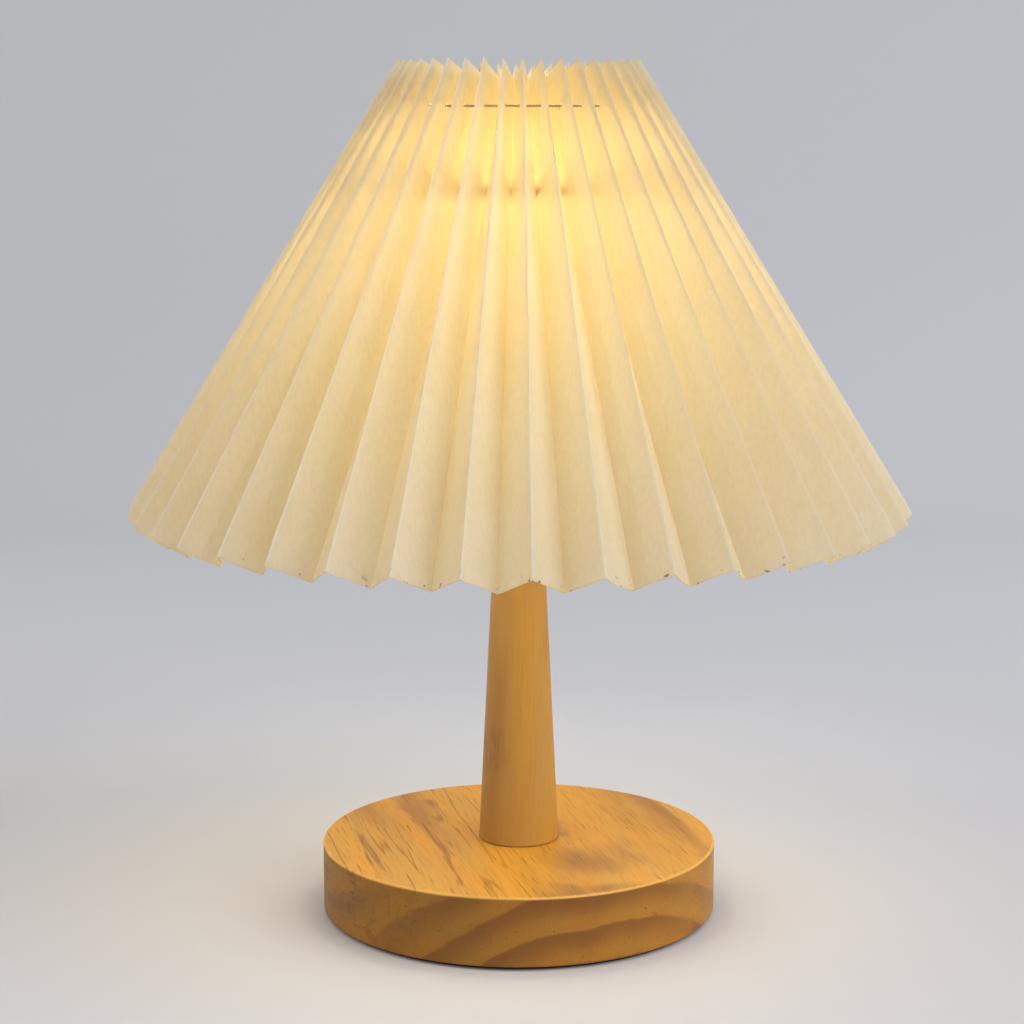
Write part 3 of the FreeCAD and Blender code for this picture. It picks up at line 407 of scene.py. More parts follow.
def wood_finish(name, settings, grain, heart, ring, knot, sway=0.012, marks=1.0, even=0.10,
                tint=(1.0, 1.0, 1.0), corner=None, splits=0.0):
    """Oiled wood: growth lines round a log's heart, fibres along its grain, pores and a thin coat.

    heart is a point in the middle of the log, ring the width of a growth line and sway how far
    the lines wander. even is the strength of the lines outside the dark patches, and marks and
    splits that of the pores and of the drying splits. A knot has its spot, how far it reaches,
    its push on the lines and its smudge, and a corner the radius and height of the top's edge.
    Below a corner the side gets painted shade, and along it a painted highlight.
    """
    finish = Finish(name)
    grain = Vector(grain).normalized()
    side = grain.cross(Vector((0.3, 0.2, 1.0))).normalized()
    rise = side.cross(grain)
    across, up, along = [finish.measured(way, heart) for way in (side, rise, grain)]
    log = finish.node("ShaderNodeCombineXYZ", {}, (across, up, along))
    x, y, z = finish.parts(finish.place)

    def fibrous(width, length, detail=3.0, roughness=0.5):
        scale = (1.0 / width, 1.0 / width, 1.0 / length)
        return finish.noise(finish.mapped(scale, log), 1.0, detail, roughness)

    # Growth lines: the distance from the heart, which sways along the log and round the knot
    wander = (fibrous(0.060, 0.170, 1.0) - 0.5) * sway + (fibrous(0.012, 0.050) - 0.5) * 0.003
    away = finish.node(
        "ShaderNodeVectorMath", {"operation": "DISTANCE"}, {0: finish.place, 1: knot["spot"]}, 1
    )
    knotty = 1.0 - away.between(0.0, knot["reach"])
    wander = wander + knotty * knot["push"]
    rings = ((across * across + up * up).root() + wander) / ring
    late = rings.fraction().between(0.15, 0.88) * (1.0 - rings.fraction().between(0.90, 1.0))
    patches = fibrous(0.022, 0.120, 2.0)
    strength = late * (even + patches.between(0.40, 0.68) * (0.85 - even))
    fibres = fibrous(0.0007, 0.030, 3.0, 0.6)
    broad = fibrous(0.009, 0.110, 2.0)
    end_grain = finish.node(
        "ShaderNodeVectorMath", {"operation": "DOT_PRODUCT"},
        {0: finish.node("ShaderNodeNewGeometry", {}, {}, "Normal"), 1: tuple(grain)}, 1,
    ).size().between(0.35, 1.0)
    # Short dark resin and pore lines along the grain
    veins = fibrous(0.0007, 0.046, 1.0).between(0.675, 0.740) * fibrous(0.020, 0.030, 1.0)
    veins = veins * marks * (1.0 - end_grain * 0.8)
    cracks = fibrous(0.0012, 0.120, 1.0).between(0.700, 0.735) * marks
    pale, dark = toned(settings.pale, tint), toned(settings.dark, tint)
    honey = toned(pale, (1.10, 1.00, 0.66))
    tan = toned(pale, (0.80, 0.70, 0.66))
    streak = toned(dark, (0.62, 0.52, 0.42))
    soaked = toned(dark, (0.92, 0.88, 0.80))
    colour = finish.mixed(broad.between(0.38, 0.62), pale, honey)
    colour = finish.mixed(patches.between(0.52, 0.72) * 0.5, colour, tan)
    colour = finish.mixed(strength.clamped(), colour, dark)
    colour = finish.mixed((fibres - 0.45).clamped() * (0.25 + 0.50 * marks), colour, streak)
    colour = finish.mixed((veins * 0.50 + cracks * 0.6).clamped(), colour, streak)
    colour = finish.mixed(end_grain * (0.34 + late * 0.58), colour, soaked)
    if corner:
        # Painted shade: the turned side is darker than the top, and darker on the left than on the
        # right
        radius, top = corner
        outwards = (x * x + y * y).root() - radius
        below = z - top
        shaded_flank = (1.0 - below.between(-0.0009, -0.0003)) * outwards.between(-0.0020, -0.0006)
        side_shade_tone = finish.mixed(x.between(-0.055, 0.045), (0.52, 0.45, 0.29), (0.86, 0.74, 0.42))
        side_in_shade = finish.mixed(1.0, colour, side_shade_tone, "MULTIPLY")
        colour = finish.mixed(shaded_flank, colour, side_in_shade)
        # Painted highlight: a thin pale line along the corner between the side and the top,
        # stronger in patches
        edge_highlight = 1.0 - (outwards * outwards + below * below).root().between(0.0003, 0.0010)
        highlight_tone = toned(pale, (1.30, 1.38, 2.2))
        colour = finish.mixed(edge_highlight * (0.45 + patches * 0.6), colour, highlight_tone)
    if splits:
        # A few long drying splits, in the left half of the disc
        spread = finish.noise(finish.mapped((230.0, 90.0, 9.0), log), 1.0, 2.0, 0.35)
        thin = 1.0 - ((spread - 0.5).size() * 30.0).clamped()
        held = fibrous(0.012, 0.034, 1.0).between(0.44, 0.54)
        left = 1.0 - x.between(-0.022, 0.018)
        cracked = thin * held * left * (1.0 - end_grain) * splits
        colour = finish.mixed(cracked.clamped(), colour, streak)
    torn = knotty * fibrous(0.0016, 0.009, 2.0).between(0.40, 0.62)
    colour = finish.mixed(torn * knot["smudge"], colour, streak)
    height = fibres * 0.5 - veins * 0.9 - cracks * 0.7
    shader = finish.principled(
        Base_Color=colour,
        Roughness=(0.46 + fibres * 0.18 - late * 0.06).clamped(),
        Normal=finish.bumped(height, 0.00008, 0.5),
        Specular_IOR_Level=0.38,
        Coat_Weight=0.05,
        Coat_Roughness=0.30,
    )
    return finish.surface(shader)


def plastic_finish(name, colour, roughness, grain=0.35, glow=None):
    """Moulded plastic or paint: a fine grain, and a slightly cloudy colour that may glow."""
    finish = Finish(name)
    cloud = finish.noise(finish.place, 38.0, 3.0)
    fine = finish.noise(finish.place, 2400.0, 2.0)
    tint = finish.mixed(cloud.between(0.35, 0.7) * 0.6, colour, toned(colour, 0.90))
    sockets = {
        "Base_Color": tint,
        "Roughness": (roughness - 0.05 + cloud * 0.12).clamped(),
        "Normal": finish.bumped(fine, 0.00003, grain),
    }
    if glow:
        sockets["Emission_Color"] = glow
        sockets["Emission_Strength"] = 1.0
    return finish.surface(finish.principled(**sockets))


def metal_finish(name, colour, roughness, tarnish=0.25):
    """Plain metal: fine rolled marks, and a patchy dulling."""
    finish = Finish(name)
    marks = finish.noise(finish.place, 400.0, 3.0, 0.6)
    patches = finish.noise(finish.place, 55.0, 4.0, 0.6).between(0.42, 0.70)
    shader = finish.principled(
        Base_Color=finish.mixed(patches * tarnish, colour, toned(colour, 0.62)),
        Metallic=1.0,
        Roughness=(roughness + patches * 0.14 + marks * 0.10).clamped(),
        Normal=finish.bumped(marks, 0.00002, 0.35),
    )
    return finish.surface(shader)


def foam_finish(name, colour):
    """Closed-cell foam or rubber: small cells, matt, with dust caught in it."""
    finish = Finish(name)
    cells = finish.node("ShaderNodeTexVoronoi", {}, {"Vector": finish.place, "Scale": 1500.0})
    dust = finish.noise(finish.place, 130.0, 4.0, 0.65).between(0.55, 0.8)
    grey = tuple(channel * 2.2 + 0.02 for channel in colour)
    shader = finish.principled(
        Base_Color=finish.mixed(dust * 0.5, colour, grey),
        Roughness=(0.78 + cells * 0.2).clamped(),
        Normal=finish.bumped(cells, 0.00008, 0.6),
    )
    return finish.surface(shader)


def paper_finish(settings):
    """Laminated paper, lit from both sides: fibres, paler folds, yellowed and stained rims."""
    finish = Finish("pleated_paper_finish")
    rise = finish.node("ShaderNodeAttribute", {"attribute_name": "rise"}, {}, 2)
    along = finish.node("ShaderNodeAttribute", {"attribute_name": "along"}, {}, 2)
    cloud = finish.noise(finish.place, 42.0, 3.0, 0.55)
    fibre = finish.noise(finish.mapped((900.0, 900.0, 260.0)), 1.0, 4.0, 0.62)
    grain = finish.noise(finish.place, 1900.0, 2.0)
    specks = finish.noise(finish.place, 760.0, 1.0).between(0.735, 0.775)
    ridge = rise.between(0.930, 0.985)
    valley = 1.0 - rise.between(0.004, 0.060)
    rim = along.between(0.9955, 0.9995) + (1.0 - along.between(0.0005, 0.0045))
    yellowed = (rim * (0.35 + cloud * 0.9)).clamped()
    reflected = tuple(settings.reflected)
    passed = tuple(settings.passed)
    warm = toned(reflected, (0.95, 0.86, 0.60))
    white = (0.93, 0.90, 0.82)
    outside = finish.mixed(cloud.between(0.35, 0.7) * 0.25, reflected, warm)
    # The outer folds are whiter: partly the paper's own paler crease, partly a painted highlight
    # along each ridge
    outside = finish.mixed(ridge * 0.85, outside, white)
    outside = finish.mixed(yellowed * 0.55, outside, warm)
    outside = finish.mixed(specks * 0.10, outside, (0.42, 0.31, 0.15))
    # Small stains where the free rim has been touched and knocked
    stains = finish.noise(finish.place, 460.0, 1.0).between(0.69, 0.74)
    stains = stains * along.between(0.978, 0.998)
    outside = finish.mixed(stains * 0.75, outside, (0.30, 0.14, 0.04))
    through = finish.mixed(fibre.between(0.38, 0.66) * 0.35, passed, toned(passed, 0.80))
    through = finish.mixed(specks * 0.12, through, (0.50, 0.30, 0.10))
    through = finish.mixed(stains * 0.75, through, (0.34, 0.14, 0.03))
    # Painted glow: the light let through turns warmer in the inner folds, for light bouncing
    # between facing panels
    through = finish.mixed(valley * 0.25, through, (1.0, 0.70, 0.30))
    normal = finish.bumped(fibre * 0.6 + grain * 0.4, 0.00005, 0.35)
    skin = finish.principled(
        Base_Color=outside, Roughness=(0.52 + fibre * 0.2).clamped(), Normal=normal,
        Specular_IOR_Level=0.35,
    )
    glow = finish.node("ShaderNodeBsdfTranslucent", {}, {"Color": through, "Normal": normal})
    # A fold is two sheets pressed together: it lets less light through and shows its own colour
    shader = finish.node(
        "ShaderNodeMixShader", {}, {0: settings.share_passed - ridge * 0.16, 1: skin, 2: glow}
    )
    return finish.surface(shader)


def thread_finish(name, colour):
    """Cotton: slanting darker lines, with loose fuzz in the colour."""
    finish = Finish(name)
    x, y, z = finish.parts(finish.place)
    angle = finish.node("ShaderNodeMath", {"operation": "ARCTAN2"}, (y, x))
    plies = (angle * 36.0 + z * 900.0).fraction().between(0.1, 0.6)
    fuzz = finish.noise(finish.place, 3000.0, 3.0)
    shader = finish.principled(
        Base_Color=finish.mixed((plies * 0.6 + fuzz * 0.3).clamped(), toned(colour, 0.55), colour),
        Roughness=0.9,
        Normal=finish.bumped(plies + fuzz * 0.5, 0.0002, 0.8),
        Sheen_Weight=0.25,
    )
    return finish.surface(shader)


def bulb_finish(name, colour, glow):
    """A frosted globe, lit from inside, that lets the light of the lamp in it out."""
    finish = Finish(name)
    frost = finish.noise(finish.place, 700.0, 3.0)
    height = finish.parts(finish.place)[2]
    low, high = [corner[2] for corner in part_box("bulb_globe")]
    shine = 0.72 + 0.28 * height.between(low, low + (high - low) * 0.6)
    hot = finish.mixed(shine, toned(glow, 0.55), glow)
    globe = finish.principled(
        Base_Color=colour,
        Roughness=(0.30 + frost * 0.12).clamped(),
        Normal=finish.bumped(frost, 0.00002, 0.3),
        Emission_Color=hot,
        Emission_Strength=1.0,
    )
    shadow = finish.node("ShaderNodeLightPath", {}, {}, "Is Shadow Ray")
    clear = finish.node("ShaderNodeBsdfTransparent", {}, {})
    return finish.surface(finish.node("ShaderNodeMixShader", {}, {0: shadow, 1: globe, 2: clear}))


# ---- The shade ----


def fold_reach(settings, share):
    """The outer folds' radius, and how far in and down from them the inner folds lie."""
    spread = settings.low_radius - settings.top_radius
    slant = math.hypot(spread, settings.height)
    depth = settings.depth_top + (settings.depth_low - settings.depth_top) * share
    outer = settings.top_radius + spread * share
    return outer, depth * settings.height / slant, depth * spread / slant


def paper_point(settings, share, across):
    """A point of one pleat: across is 0 and 2 at its outer folds and 1 at its inner fold."""
    outer, inwards, down = fold_reach(settings, share)
    height = SHADE_TOP - settings.height * share
    half = math.pi / PLEATS
    ridge = Vector((outer, 0.0, height))
    ridge.rotate(Matrix.Rotation(half * (0.0 if across < 1.0 else 2.0), 3, "Z"))
    valley = Vector((outer - inwards, 0.0, height - down))
    valley.rotate(Matrix.Rotation(half, 3, "Z"))
    return valley.lerp(ridge, abs(across - 1.0))


def one_pleat(settings):
    """A bmesh of one pleat from outer fold to outer fold, its six corners cut up into a grid."""
    bm = bmesh.new()
    rise = bm.verts.layers.float.new("rise")
    along = bm.verts.layers.float.new("along")
    corners = [[bm.verts.new(paper_point(settings, share, across)) for across in (0, 1, 2)]
               for share in (0, 1)]
    for share, line in enumerate(corners):
        for across, vert in enumerate(line):
            vert[rise] = abs(across - 1.0)
            vert[along] = share
    top, rim = corners
    for side in (0, 1):
        bm.faces.new((top[side], rim[side], rim[side + 1], top[side + 1]))
    slopes = [edge for edge in bm.edges
              if abs(edge.verts[0][along] - edge.verts[1][along]) > 0.5]
    bmesh.ops.subdivide_edges(bm, edges=slopes, cuts=PANEL_ROWS - 1, use_grid_fill=True)
    level = [edge for edge in bm.edges
             if abs(edge.verts[0][rise] - edge.verts[1][rise]) > 0.5]
    bmesh.ops.subdivide_edges(bm, edges=level, cuts=PANEL_COLUMNS - 1, use_grid_fill=True)
    return bm, rise, along


def paper_shade(settings):
    """The whole shade: one pleat turned round, then each fold set a little off its place."""
    bm, rise, along = one_pleat(settings)
    bmesh.ops.rotate(
        bm, verts=bm.verts, cent=(0, 0, 0), matrix=Matrix.Rotation(FRONT + PLEAT_TURN, 3, "Z")
    )
    bmesh.ops.spin(
        bm, geom=bm.verts[:] + bm.edges[:] + bm.faces[:], cent=(0, 0, 0), axis=(0, 0, 1),
        angle=math.tau * (PLEATS - 1) / PLEATS, steps=PLEATS - 1, use_duplicate=True,
    )
    bmesh.ops.remove_doubles(bm, verts=bm.verts, dist=PLEAT_WELD)
    bmesh.ops.recalc_face_normals(bm, faces=bm.faces)
    for vert in bm.verts:
        angle = math.atan2(vert.co.y, vert.co.x)
        share = vert[along]
        ridge = vert[rise]
        outwards = Vector((math.cos(angle), math.sin(angle), 0.0))
        round_it = Vector((-math.sin(angle), math.cos(angle), 0.0))
        fold = round((angle - FRONT - PLEAT_TURN) * PLEATS / math.pi) % (2 * PLEATS)
        # Each fold wanders by itself, more at the free rim than at the laced top. The numbers
        # beside the seed only pick other places in the noise
        seed = Vector((math.cos(math.pi * fold / PLEATS), math.sin(math.pi * fold / PLEATS), 0))
        own = noise.noise(seed * 37.0)
        wide = noise.noise(seed * 2.1 + Vector((5.0, 0.0, 0.0)))
        side = noise.noise(seed * 41.0 + Vector((0.0, 7.0, 0.0)))
        crisp = abs(ridge * 2.0 - 1.0)
        free = 0.08 + 0.92 * share
        inner = 1.0 if ridge < 0.5 else 0.35
        vert.co += round_it * (own * FOLD_STRAY + wide * WAVE_STRAY) * free * crisp
        vert.co += outwards * side * DEPTH_STRAY * free * inner * crisp
        # Panels bow a little between their folds, one way or the other
        bow = noise.noise(Vector((angle * 9.0, share * 1.2, 3.0)))
        flat = 1.0 - crisp ** 2
        vert.co += outwards * (bow * PANEL_BOW - PANEL_SINK) * flat * share
        # The cut rim is not quite level
        if share > 0.999:
            vert.co.z += noise.noise(Vector((angle * 14.0, 2.0, 0.0))) * RIM_STRAY
    limit = settings.low_radius - RIM_MARGIN
    for vert in bm.verts:
        vert.co.z = min(vert.co.z, SHADE_TOP)
        reach = math.hypot(vert.co.x, vert.co.y)
        if reach > limit:
            vert.co.xy *= limit / reach
    bmesh.ops.solidify(bm, geom=bm.faces, thickness=settings.thickness)
    return bm


def bored(made, radius, height):
    """Cut a ring-shaped tunnel through the folds, so that every panel gets its lace hole."""
    bm = bmesh.new()
    rim = bmesh.ops.create_circle(bm, segments=10, radius=LACE_HOLE_RADIUS)["verts"]
    bmesh.ops.rotate(bm, verts=rim, cent=(0, 0, 0), matrix=Matrix.Rotation(math.pi / 2, 3, "X"))
    bmesh.ops.translate(bm, verts=rim, vec=(radius, 0.0, height))
    bmesh.ops.spin(
        bm, geom=bm.verts[:] + bm.edges[:], cent=(0, 0, 0), axis=(0, 0, 1), angle=math.tau,
        steps=4 * PLEATS, use_merge=True,
    )
    bmesh.ops.remove_doubles(bm, verts=bm.verts, dist=WELD)
    bmesh.ops.recalc_face_normals(bm, faces=bm.faces)
    tunnel = finished(bm, "lace_tunnel", [])
    cut = made.modifiers.new("lace_holes", "BOOLEAN")
    cut.operation = "DIFFERENCE"
    cut.solver = "EXACT"
    cut.object = tunnel
    bpy.context.view_layer.update()
    shape = bpy.data.meshes.new_from_object(
        made.evaluated_get(bpy.context.evaluated_depsgraph_get())
    )
    made.modifiers.clear()
    made.data = shape
    bpy.data.objects.remove(tunnel)


class LAMP_OT_paper_shade(bpy.types.Operator):
    """Fold the paper shade and bore its lace holes"""

    bl_idname = "paper_lamp.paper_shade"
    bl_label = "Paper shade"

    def execute(self, context):
        settings = context.scene.paper_lamp_shade
        made = finished(paper_shade(settings), "pleated_shade", [], smooth=False)
        low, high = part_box("shade_lace")
        bored(made, high[0] - LACE_RADIUS, (low[2] + high[2]) / 2)
        made.data.materials.clear()
        made.data.materials.append(paper_finish(settings))
        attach(made, "paper_shade")
        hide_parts("paper_shade")
        return {"FINISHED"}


def twisted(strands, strand, spread, pitch, length, sides=6, steps=8):
    """A bmesh of a thread laid along Z: strands wound round each other, with closed ends."""
    bm = bmesh.new()
    for index in range(strands):
        rim = bmesh.ops.create_circle(bm, segments=sides, radius=strand)["verts"]
        bmesh.ops.translate(bm, verts=rim, vec=(spread, 0.0, 0.0))
        bmesh.ops.rotate(
            bm, verts=rim, cent=(0, 0, 0),
            matrix=Matrix.Rotation(math.tau * index / strands, 3, "Z"),
        )
    turns = length / pitch
    count = max(2, round(turns * steps))
    bmesh.ops.spin(
        bm, geom=bm.verts[:] + bm.edges[:], cent=(0, 0, 0), axis=(0, 0, 1),
        dvec=(0, 0, length / count), angle=math.tau * turns, steps=count,
    )
    bmesh.ops.holes_fill(bm, edges=[edge for edge in bm.edges if edge.is_boundary], sides=0)
    bmesh.ops.recalc_face_normals(bm, faces=bm.faces)
    return bm


def joined(pieces, name, materials):
    """One object from several bmeshes."""
    whole = bmesh.new()
    for bm in pieces:
        mesh = bpy.data.meshes.new(name)
        bm.to_mesh(mesh)
        bm.free()
        whole.from_mesh(mesh)
        bpy.data.meshes.remove(mesh)
    return finished(whole, name, materials)


def lace_pieces():
    """The twisted thread round the folds, its knot, and the knot's two ends."""
    low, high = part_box("shade_lace")
    height = (low[2] + high[2]) / 2
    radius = -low[0] - LACE_RADIUS
    lumps = [vert.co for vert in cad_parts["shade_lace"].data.vertices
             if abs(vert.co.z - height) > LACE_RADIUS * 1.2]
    knot = sum(lumps, Vector()) / len(lumps)
    angle = math.atan2(knot.y, knot.x)
    outwards = Vector((math.cos(angle), math.sin(angle), 0.0))
    gap = KNOT_GAP / radius
    thread = twisted(length=(math.tau - 2 * gap) * radius, **LACE_TWIST)
    for vert in thread.verts:
        turn = angle + gap + vert.co.z / radius
        reach = radius + vert.co.x
        vert.co = (reach * math.cos(turn), reach * math.sin(turn), height + vert.co.y)
    # Radius, height and turn are a left-handed set, which turns the faces round
    bmesh.ops.reverse_faces(thread, faces=thread.faces[:])
    centre = outwards * knot.xy.length
    centre.z = height
    coil = twisted(**KNOT_COIL)
    bmesh.ops.translate(coil, verts=coil.verts, vec=(0.0, 0.0, -KNOT_COIL["length"] / 2))
    along = Vector((-outwards.y, outwards.x, 0.0))
    bmesh.ops.rotate(
        coil, verts=coil.verts, cent=(0, 0, 0),
        matrix=along.to_track_quat("Z", "Y").to_matrix(),
    )
    bmesh.ops.translate(coil, verts=coil.verts, vec=centre)
    pieces = [thread, coil]
    for lean in LACE_END_LEANS:
        end = twisted(length=LACE_END, **LACE_TWIST)
        way = outwards * 0.74 + along * lean - Vector((0.0, 0.0, 0.80))
        bmesh.ops.rotate(
            end, verts=end.verts, cent=(0, 0, 0), matrix=way.to_track_quat("Z", "Y").to_matrix()
        )
        bmesh.ops.translate(end, verts=end.verts, vec=centre)
        pieces.append(end)
    return pieces


class LAMP_OT_lace(bpy.types.Operator):
    """Twist the cotton lace that holds the folds together at the top, and knot it"""

    bl_idname = "paper_lamp.lace"
    bl_label = "Lace"

    def execute(self, context):
        cotton = thread_finish("cotton_lace_finish", (0.72, 0.58, 0.36))
        made = joined(lace_pieces(), "twisted_lace", [cotton])
        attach(made, "paper_shade")
        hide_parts("shade_lace")
        return {"FINISHED"}


class LAMP_OT_wood(bpy.types.Operator):
    """Oiled wood for the base and the stem"""

    bl_idname = "paper_lamp.wood"
    bl_label = "Wood"

    def execute(self, context):
        settings = context.scene.paper_lamp_wood
        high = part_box("base_disc")[1]
        dress("base_disc", wood_finish(
            "base_wood_finish", settings, grain=(0.24, -0.97, 0.045),
            heart=(0.014, 0.0, -0.055), ring=0.0115, corner=(high[0], high[2]), splits=0.75,
            knot={"spot": (0.027, -0.026, 0.020), "reach": 0.032, "push": 0.011, "smudge": 0.12},
        ))
        dress("stem", wood_finish(
            "stem_wood_finish", settings, grain=(0.025, 0.02, 1.0),
            heart=(0.0430, -0.010, 0.065), ring=0.030, sway=0.006, marks=0.20, even=0.42,
            tint=(0.88, 0.93, 1.30),
            knot={"spot": (-0.0105, -0.0060, 0.057), "reach": 0.013, "push": 0.0026,
                  "smudge": 0.45},
        ))
        return {"FINISHED"}


def ribbed_collar(low, high):
    """The clamping ring: ribbed for the fingers outside, with a lead-in chamfer at each end."""
    outer, inner, edge = high[0], COLLAR_BORE, COLLAR_CHAMFER
    bottom, top = low[2], high[2]
    bm = lathe((
        (inner + edge, bottom), (outer - edge, bottom), (outer, bottom + edge),
        (outer, bottom + 2 * edge), (outer, top - 2 * edge), (outer, top - edge),
        (outer - edge, top), (inner + edge, top), (inner, top - edge), (inner, bottom + edge),
    ), steps=COLLAR_RIBS * 6)
    for vert in bm.verts:
        reach = vert.co.xy.length
        share = (math.atan2(vert.co.y, vert.co.x) / math.tau * COLLAR_RIBS) % 1.0
        inside = bottom + 1.5 * edge < vert.co.z < top - 1.5 * edge
        if reach > outer - edge / 2 and inside:
            dip = 0.5 - 0.5 * math.cos(math.tau * share)
            vert.co.xy *= 1.0 - COLLAR_RIB_DEPTH * dip ** 2 / reach
    return bm


def threaded_cap(low, high):
    """The bulb's cap: a rolled thread between a plain neck and a drawn-in lower end."""
    outer = high[0]
    bottom, top = low[2], high[2]
    outline = [(outer, bottom + (top - bottom) * row / CAP_ROWS) for row in range(CAP_ROWS + 1)]
    inner = outer - CAP_THREAD_DEPTH - CAP_WALL
    bm = lathe(outline + [(inner, outline[-1][1]), (inner, outline[0][1])], steps=96)
    for vert in bm.verts:
        reach = vert.co.xy.length
        if reach < outer - CAP_THREAD_DEPTH / 2:
            continue
        turn = math.atan2(vert.co.y, vert.co.x) / math.tau
        wave = 0.5 - 0.5 * math.cos(math.tau * (vert.co.z / CAP_THREAD_PITCH - turn))
        share = (vert.co.z - bottom) / (top - bottom)
        rolled = ramped(share - 0.04, 0.10) * ramped(0.84 - share, 0.08)
        drawn_in = ramped(0.07 - share, 0.07) * 0.8
        vert.co.xy *= 1.0 - CAP_THREAD_DEPTH * (wave * rolled + drawn_in) / reach
    bmesh.ops.recalc_face_normals(bm, faces=bm.faces)
    return bm


class LAMP_OT_fittings(bpy.types.Operator):
    """Give the holder, the carrier and the pieces in the base their finishes"""

    bl_idname = "paper_lamp.fittings"
    bl_label = "Fittings"

    def execute(self, context):
        white = plastic_finish("white_plastic_finish", (0.78, 0.77, 0.73), 0.42)
        wire = plastic_finish("white_wire_finish", (0.82, 0.82, 0.80), 0.30, 0.15)
        zinc = metal_finish("zinc_steel_finish", (0.62, 0.63, 0.65), 0.34)
        brass = metal_finish("contact_brass_finish", (0.80, 0.60, 0.28), 0.28, tarnish=0.45)
        for nodes, material in (
            (("holder_cap", "holder_shell", "holder_insert"), white),
            (("fitter_plate", "carrier_ring", "carrier_arm_1", "carrier_arm_2",
              "carrier_arm_3"), wire),
            (("threaded_rod", "rod_washer", "lock_nut", "cover_screws", "clamp_screws",
              "terminal_screws"), zinc),
            (("screw_shell", "centre_contact"), brass),
        ):
            for node in nodes:
                dress(node, material)
        collar = finished(ribbed_collar(*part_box("shade_collar")), "ribbed_collar", [white])
        sharpen(collar)
        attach(collar, "shade_collar")
        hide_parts("shade_collar")
        dress("foot_pad", foam_finish("pad_foam_finish", (0.030, 0.028, 0.026)))
        dress("cord_grommet", foam_finish("dark_rubber_finish", (0.022, 0.021, 0.020)))
        dress("base_cover", plastic_finish("cover_board_finish", (0.10, 0.095, 0.09), 0.7, 0.8))
        dress("cord_clamp", plastic_finish("clamp_finish", (0.75, 0.74, 0.70), 0.45))
        dress("terminal_block", plastic_finish("terminal_finish", (0.72, 0.72, 0.70), 0.35))
        dress("live_lead", plastic_finish("live_finish", (0.26, 0.10, 0.035), 0.45))
        dress("neutral_lead", plastic_finish("neutral_finish", (0.03, 0.12, 0.42), 0.45))
        return {"FINISHED"}


class LAMP_OT_bulb(bpy.types.Operator):
    """Finish the bulb and light the lamp inside it"""

    bl_idname = "paper_lamp.bulb"
    bl_label = "Bulb"

    def execute(self, context):
        stage = context.scene.paper_lamp_stage
        dress("bulb_globe", bulb_finish(
            "bulb_diffuser_finish", (0.85, 0.82, 0.74), tuple(stage.bulb_colour)
        ))
        dress("bulb_housing", plastic_finish("bulb_plastic_finish", (0.80, 0.79, 0.76), 0.35))
        metal = metal_finish("bulb_metal_finish", (0.76, 0.76, 0.77), 0.30)
        cap = finished(threaded_cap(*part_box("bulb_cap")), "threaded_cap", [metal])
        sharpen(cap, 50.0)
        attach(cap, "bulb")
        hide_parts("bulb_cap")
        dress("bulb_tip", metal_finish("bulb_tip_finish", (0.62, 0.62, 0.60), 0.36, tarnish=0.4))
        dress("bulb_insulator", plastic_finish("insulator_finish", (0.02, 0.02, 0.022), 0.2, 0.1))
        dress("led_board", plastic_finish("board_white_finish", (0.80, 0.80, 0.78), 0.4))
        dress("led_driver", plastic_finish("driver_green_finish", (0.03, 0.16, 0.06), 0.4))
        dress("led_chips", plastic_finish(
            "chip_phosphor_finish", (0.90, 0.62, 0.10), 0.3, glow=(1.0, 0.82, 0.50)
        ))
        low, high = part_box("bulb_globe")
        for name, height, share, radius in (
            ("bulb_light_low", low[2] * 0.6 + high[2] * 0.4, LOW_GLOW_SHARE, LOW_GLOW_RADIUS),
            ("bulb_light_high", high[2] + HIGH_GLOW_RISE, HIGH_GLOW_SHARE, HIGH_GLOW_RADIUS),
        ):
            lamp = bpy.data.lights.new(name, "POINT")
            lamp.energy = stage.bulb_power * share
            lamp.color = tuple(stage.bulb_colour)
            lamp.shadow_soft_size = radius
            placed = bpy.data.objects.new(name, lamp)
            placed.location = (0.0, 0.0, height)
            context.scene.collection.objects.link(placed)
        return {"FINISHED"}


# ---- Stage ----


def area_light(name, place, target, size, power, colour):
    """A round lamp at a place, turned to a target and unseen by the camera."""
    light = bpy.data.lights.new(name, "AREA")
    light.shape = "DISK"
    light.size = size
    light.energy = power
    light.color = colour
    made = bpy.data.objects.new(name, light)
    made.location = place
    made.rotation_euler = (Vector(target) - Vector(place)).to_track_quat("-Z", "Y").to_euler()
    made.visible_camera = False
    bpy.context.scene.collection.objects.link(made)
    return made


def sweep_backdrop():
    """The floor and the backdrop, one sheet bent up behind the lamp."""
    bm = bmesh.new()
    front, bend_at, bend, top, half = -6.0, 0.75, 0.55, 3.5, 6.0
    steps = 24
    line = [bm.verts.new((-half, front, 0.0)), bm.verts.new((-half, bend_at, 0.0))]
    for step in range(1, steps + 1):
        angle = math.pi / 2 * step / steps
        line.append(bm.verts.new(
            (-half, bend_at + bend * math.sin(angle), bend * (1.0 - math.cos(angle)))
        ))
    line.append(bm.verts.new((-half, bend_at + bend, top)))
    edges = [bm.edges.new(pair) for pair in zip(line, line[1:])]
    drawn = bmesh.ops.extrude_edge_only(bm, edges=edges)["geom"]
    bmesh.ops.translate(
        bm, verts=[item for item in drawn if isinstance(item, bmesh.types.BMVert)],
        vec=(2 * half, 0.0, 0.0),
    )
    bmesh.ops.recalc_face_normals(bm, faces=bm.faces)
    if bm.faces[0].normal.z < 0:
        bmesh.ops.reverse_faces(bm, faces=bm.faces)
    return bm


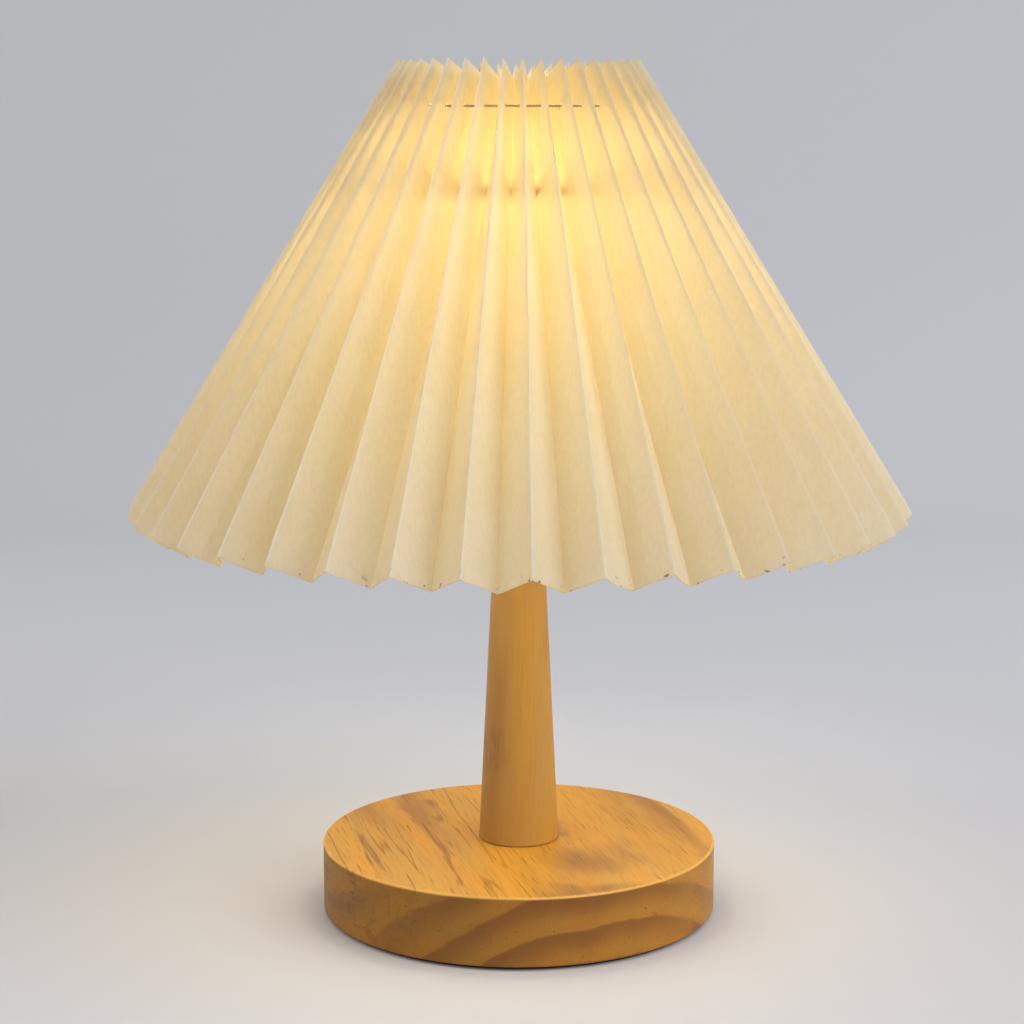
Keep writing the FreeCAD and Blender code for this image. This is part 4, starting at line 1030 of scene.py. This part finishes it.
def stage_finish(settings):
    """Plain matt paint that goes from the backdrop's tone to the floor's."""
    finish = Finish("stage_finish")
    x, y, z = finish.parts(finish.place)
    nearness = 1.0 - (y * 0.8 + z * 0.9 + 0.35 - x * 0.25).between(0.0, 1.5)
    colour = finish.mixed(nearness, tuple(settings.wall), tuple(settings.floor))
    # The bend gets less light than the floor and the wall, and is painted paler
    bend = nearness * (1.0 - nearness) * 4.0
    colour = finish.mixed(bend * 0.9, colour, toned(settings.wall, 1.14))
    fine = finish.noise(finish.place, 900.0, 2.0)
    shader = finish.principled(
        Base_Color=colour, Roughness=0.85, Specular_IOR_Level=0.2,
        Normal=finish.bumped(fine, 0.00005, 0.1),
    )
    return finish.surface(shader)


class LAMP_OT_stage(bpy.types.Operator):
    """Lay the floor and backdrop, and set the lights and the camera"""

    bl_idname = "paper_lamp.stage"
    bl_label = "Stage"

    def execute(self, context):
        settings = context.scene.paper_lamp_stage
        sweep = finished(sweep_backdrop(), "floor_and_backdrop", [stage_finish(settings)])
        for name, place, width, power, colour in LIGHTS:
            area_light(name, place, LIGHTS_AIM, width, power, colour)
        glow = area_light(
            "shade_glow", UNDER_GLOW_PLACE, (0.0, 0.0, 0.0), UNDER_GLOW_WIDTH, UNDER_GLOW_POWER,
            tuple(settings.bulb_colour),
        )
        glow.visible_glossy = False
        world = bpy.data.worlds.new("studio")
        world.use_nodes = True
        sky = world.node_tree.nodes["Background"].inputs
        sky["Color"].default_value = SKY_COLOUR
        sky["Strength"].default_value = SKY_STRENGTH
        context.scene.world = world
        context.scene.view_settings.view_transform = "Standard"
        eye = bpy.data.cameras.new("photo_camera")
        eye.lens = CAMERA_LENS
        eye.sensor_width = CAMERA_SENSOR
        placed = bpy.data.objects.new("photo_camera", eye)
        placed.location = CAMERA_PLACE
        placed.rotation_euler = (CAMERA_TILT, 0.0, 0.0)
        context.scene.collection.objects.link(placed)
        context.scene.camera = placed
        return {"FINISHED"}


STEPS = (
    LAMP_OT_stage, LAMP_OT_paper_shade, LAMP_OT_lace, LAMP_OT_wood, LAMP_OT_fittings,
    LAMP_OT_bulb,
)


class LAMP_PT_panel(bpy.types.Panel):
    """Lists the lamp's pieces in the sidebar"""

    bl_idname = "LAMP_PT_panel"
    bl_label = "Pleated Paper Lamp"
    bl_space_type = "VIEW_3D"
    bl_region_type = "UI"
    bl_category = "Paper Lamp"

    def draw(self, context):
        """Show every setting, then the operators in their order."""
        column = self.layout.column()
        for name in ("paper_lamp_shade", "paper_lamp_wood", "paper_lamp_stage"):
            settings = getattr(context.scene, name)
            for prop in settings.bl_rna.properties:
                if not prop.is_readonly and prop.identifier not in {"name", "rna_type"}:
                    column.prop(settings, prop.identifier)
        for step in STEPS:
            column.operator(step.bl_idname)


SETTINGS = {
    "paper_lamp_shade": PaperShadeSettings,
    "paper_lamp_wood": WoodSettings,
    "paper_lamp_stage": StageSettings,
}


def register():
    """Make the settings, the operators and the panel known."""
    for group in SETTINGS.values():
        bpy.utils.register_class(group)
    for name, group in SETTINGS.items():
        setattr(bpy.types.Scene, name, bpy.props.PointerProperty(type=group))
    for step in STEPS:
        bpy.utils.register_class(step)
    bpy.utils.register_class(LAMP_PT_panel)


def unregister():
    """Take away what register() made."""
    bpy.utils.unregister_class(LAMP_PT_panel)
    for step in reversed(STEPS):
        bpy.utils.unregister_class(step)
    for name, group in SETTINGS.items():
        delattr(bpy.types.Scene, name)
        bpy.utils.unregister_class(group)


def main():
    """Build every piece and the stage."""
    register()
    for step in STEPS:
        group, name = step.bl_idname.split(".")
        getattr(getattr(bpy.ops, group), name)()
    bpy.context.view_layer.update()


if __name__ == "__main__":
    main()
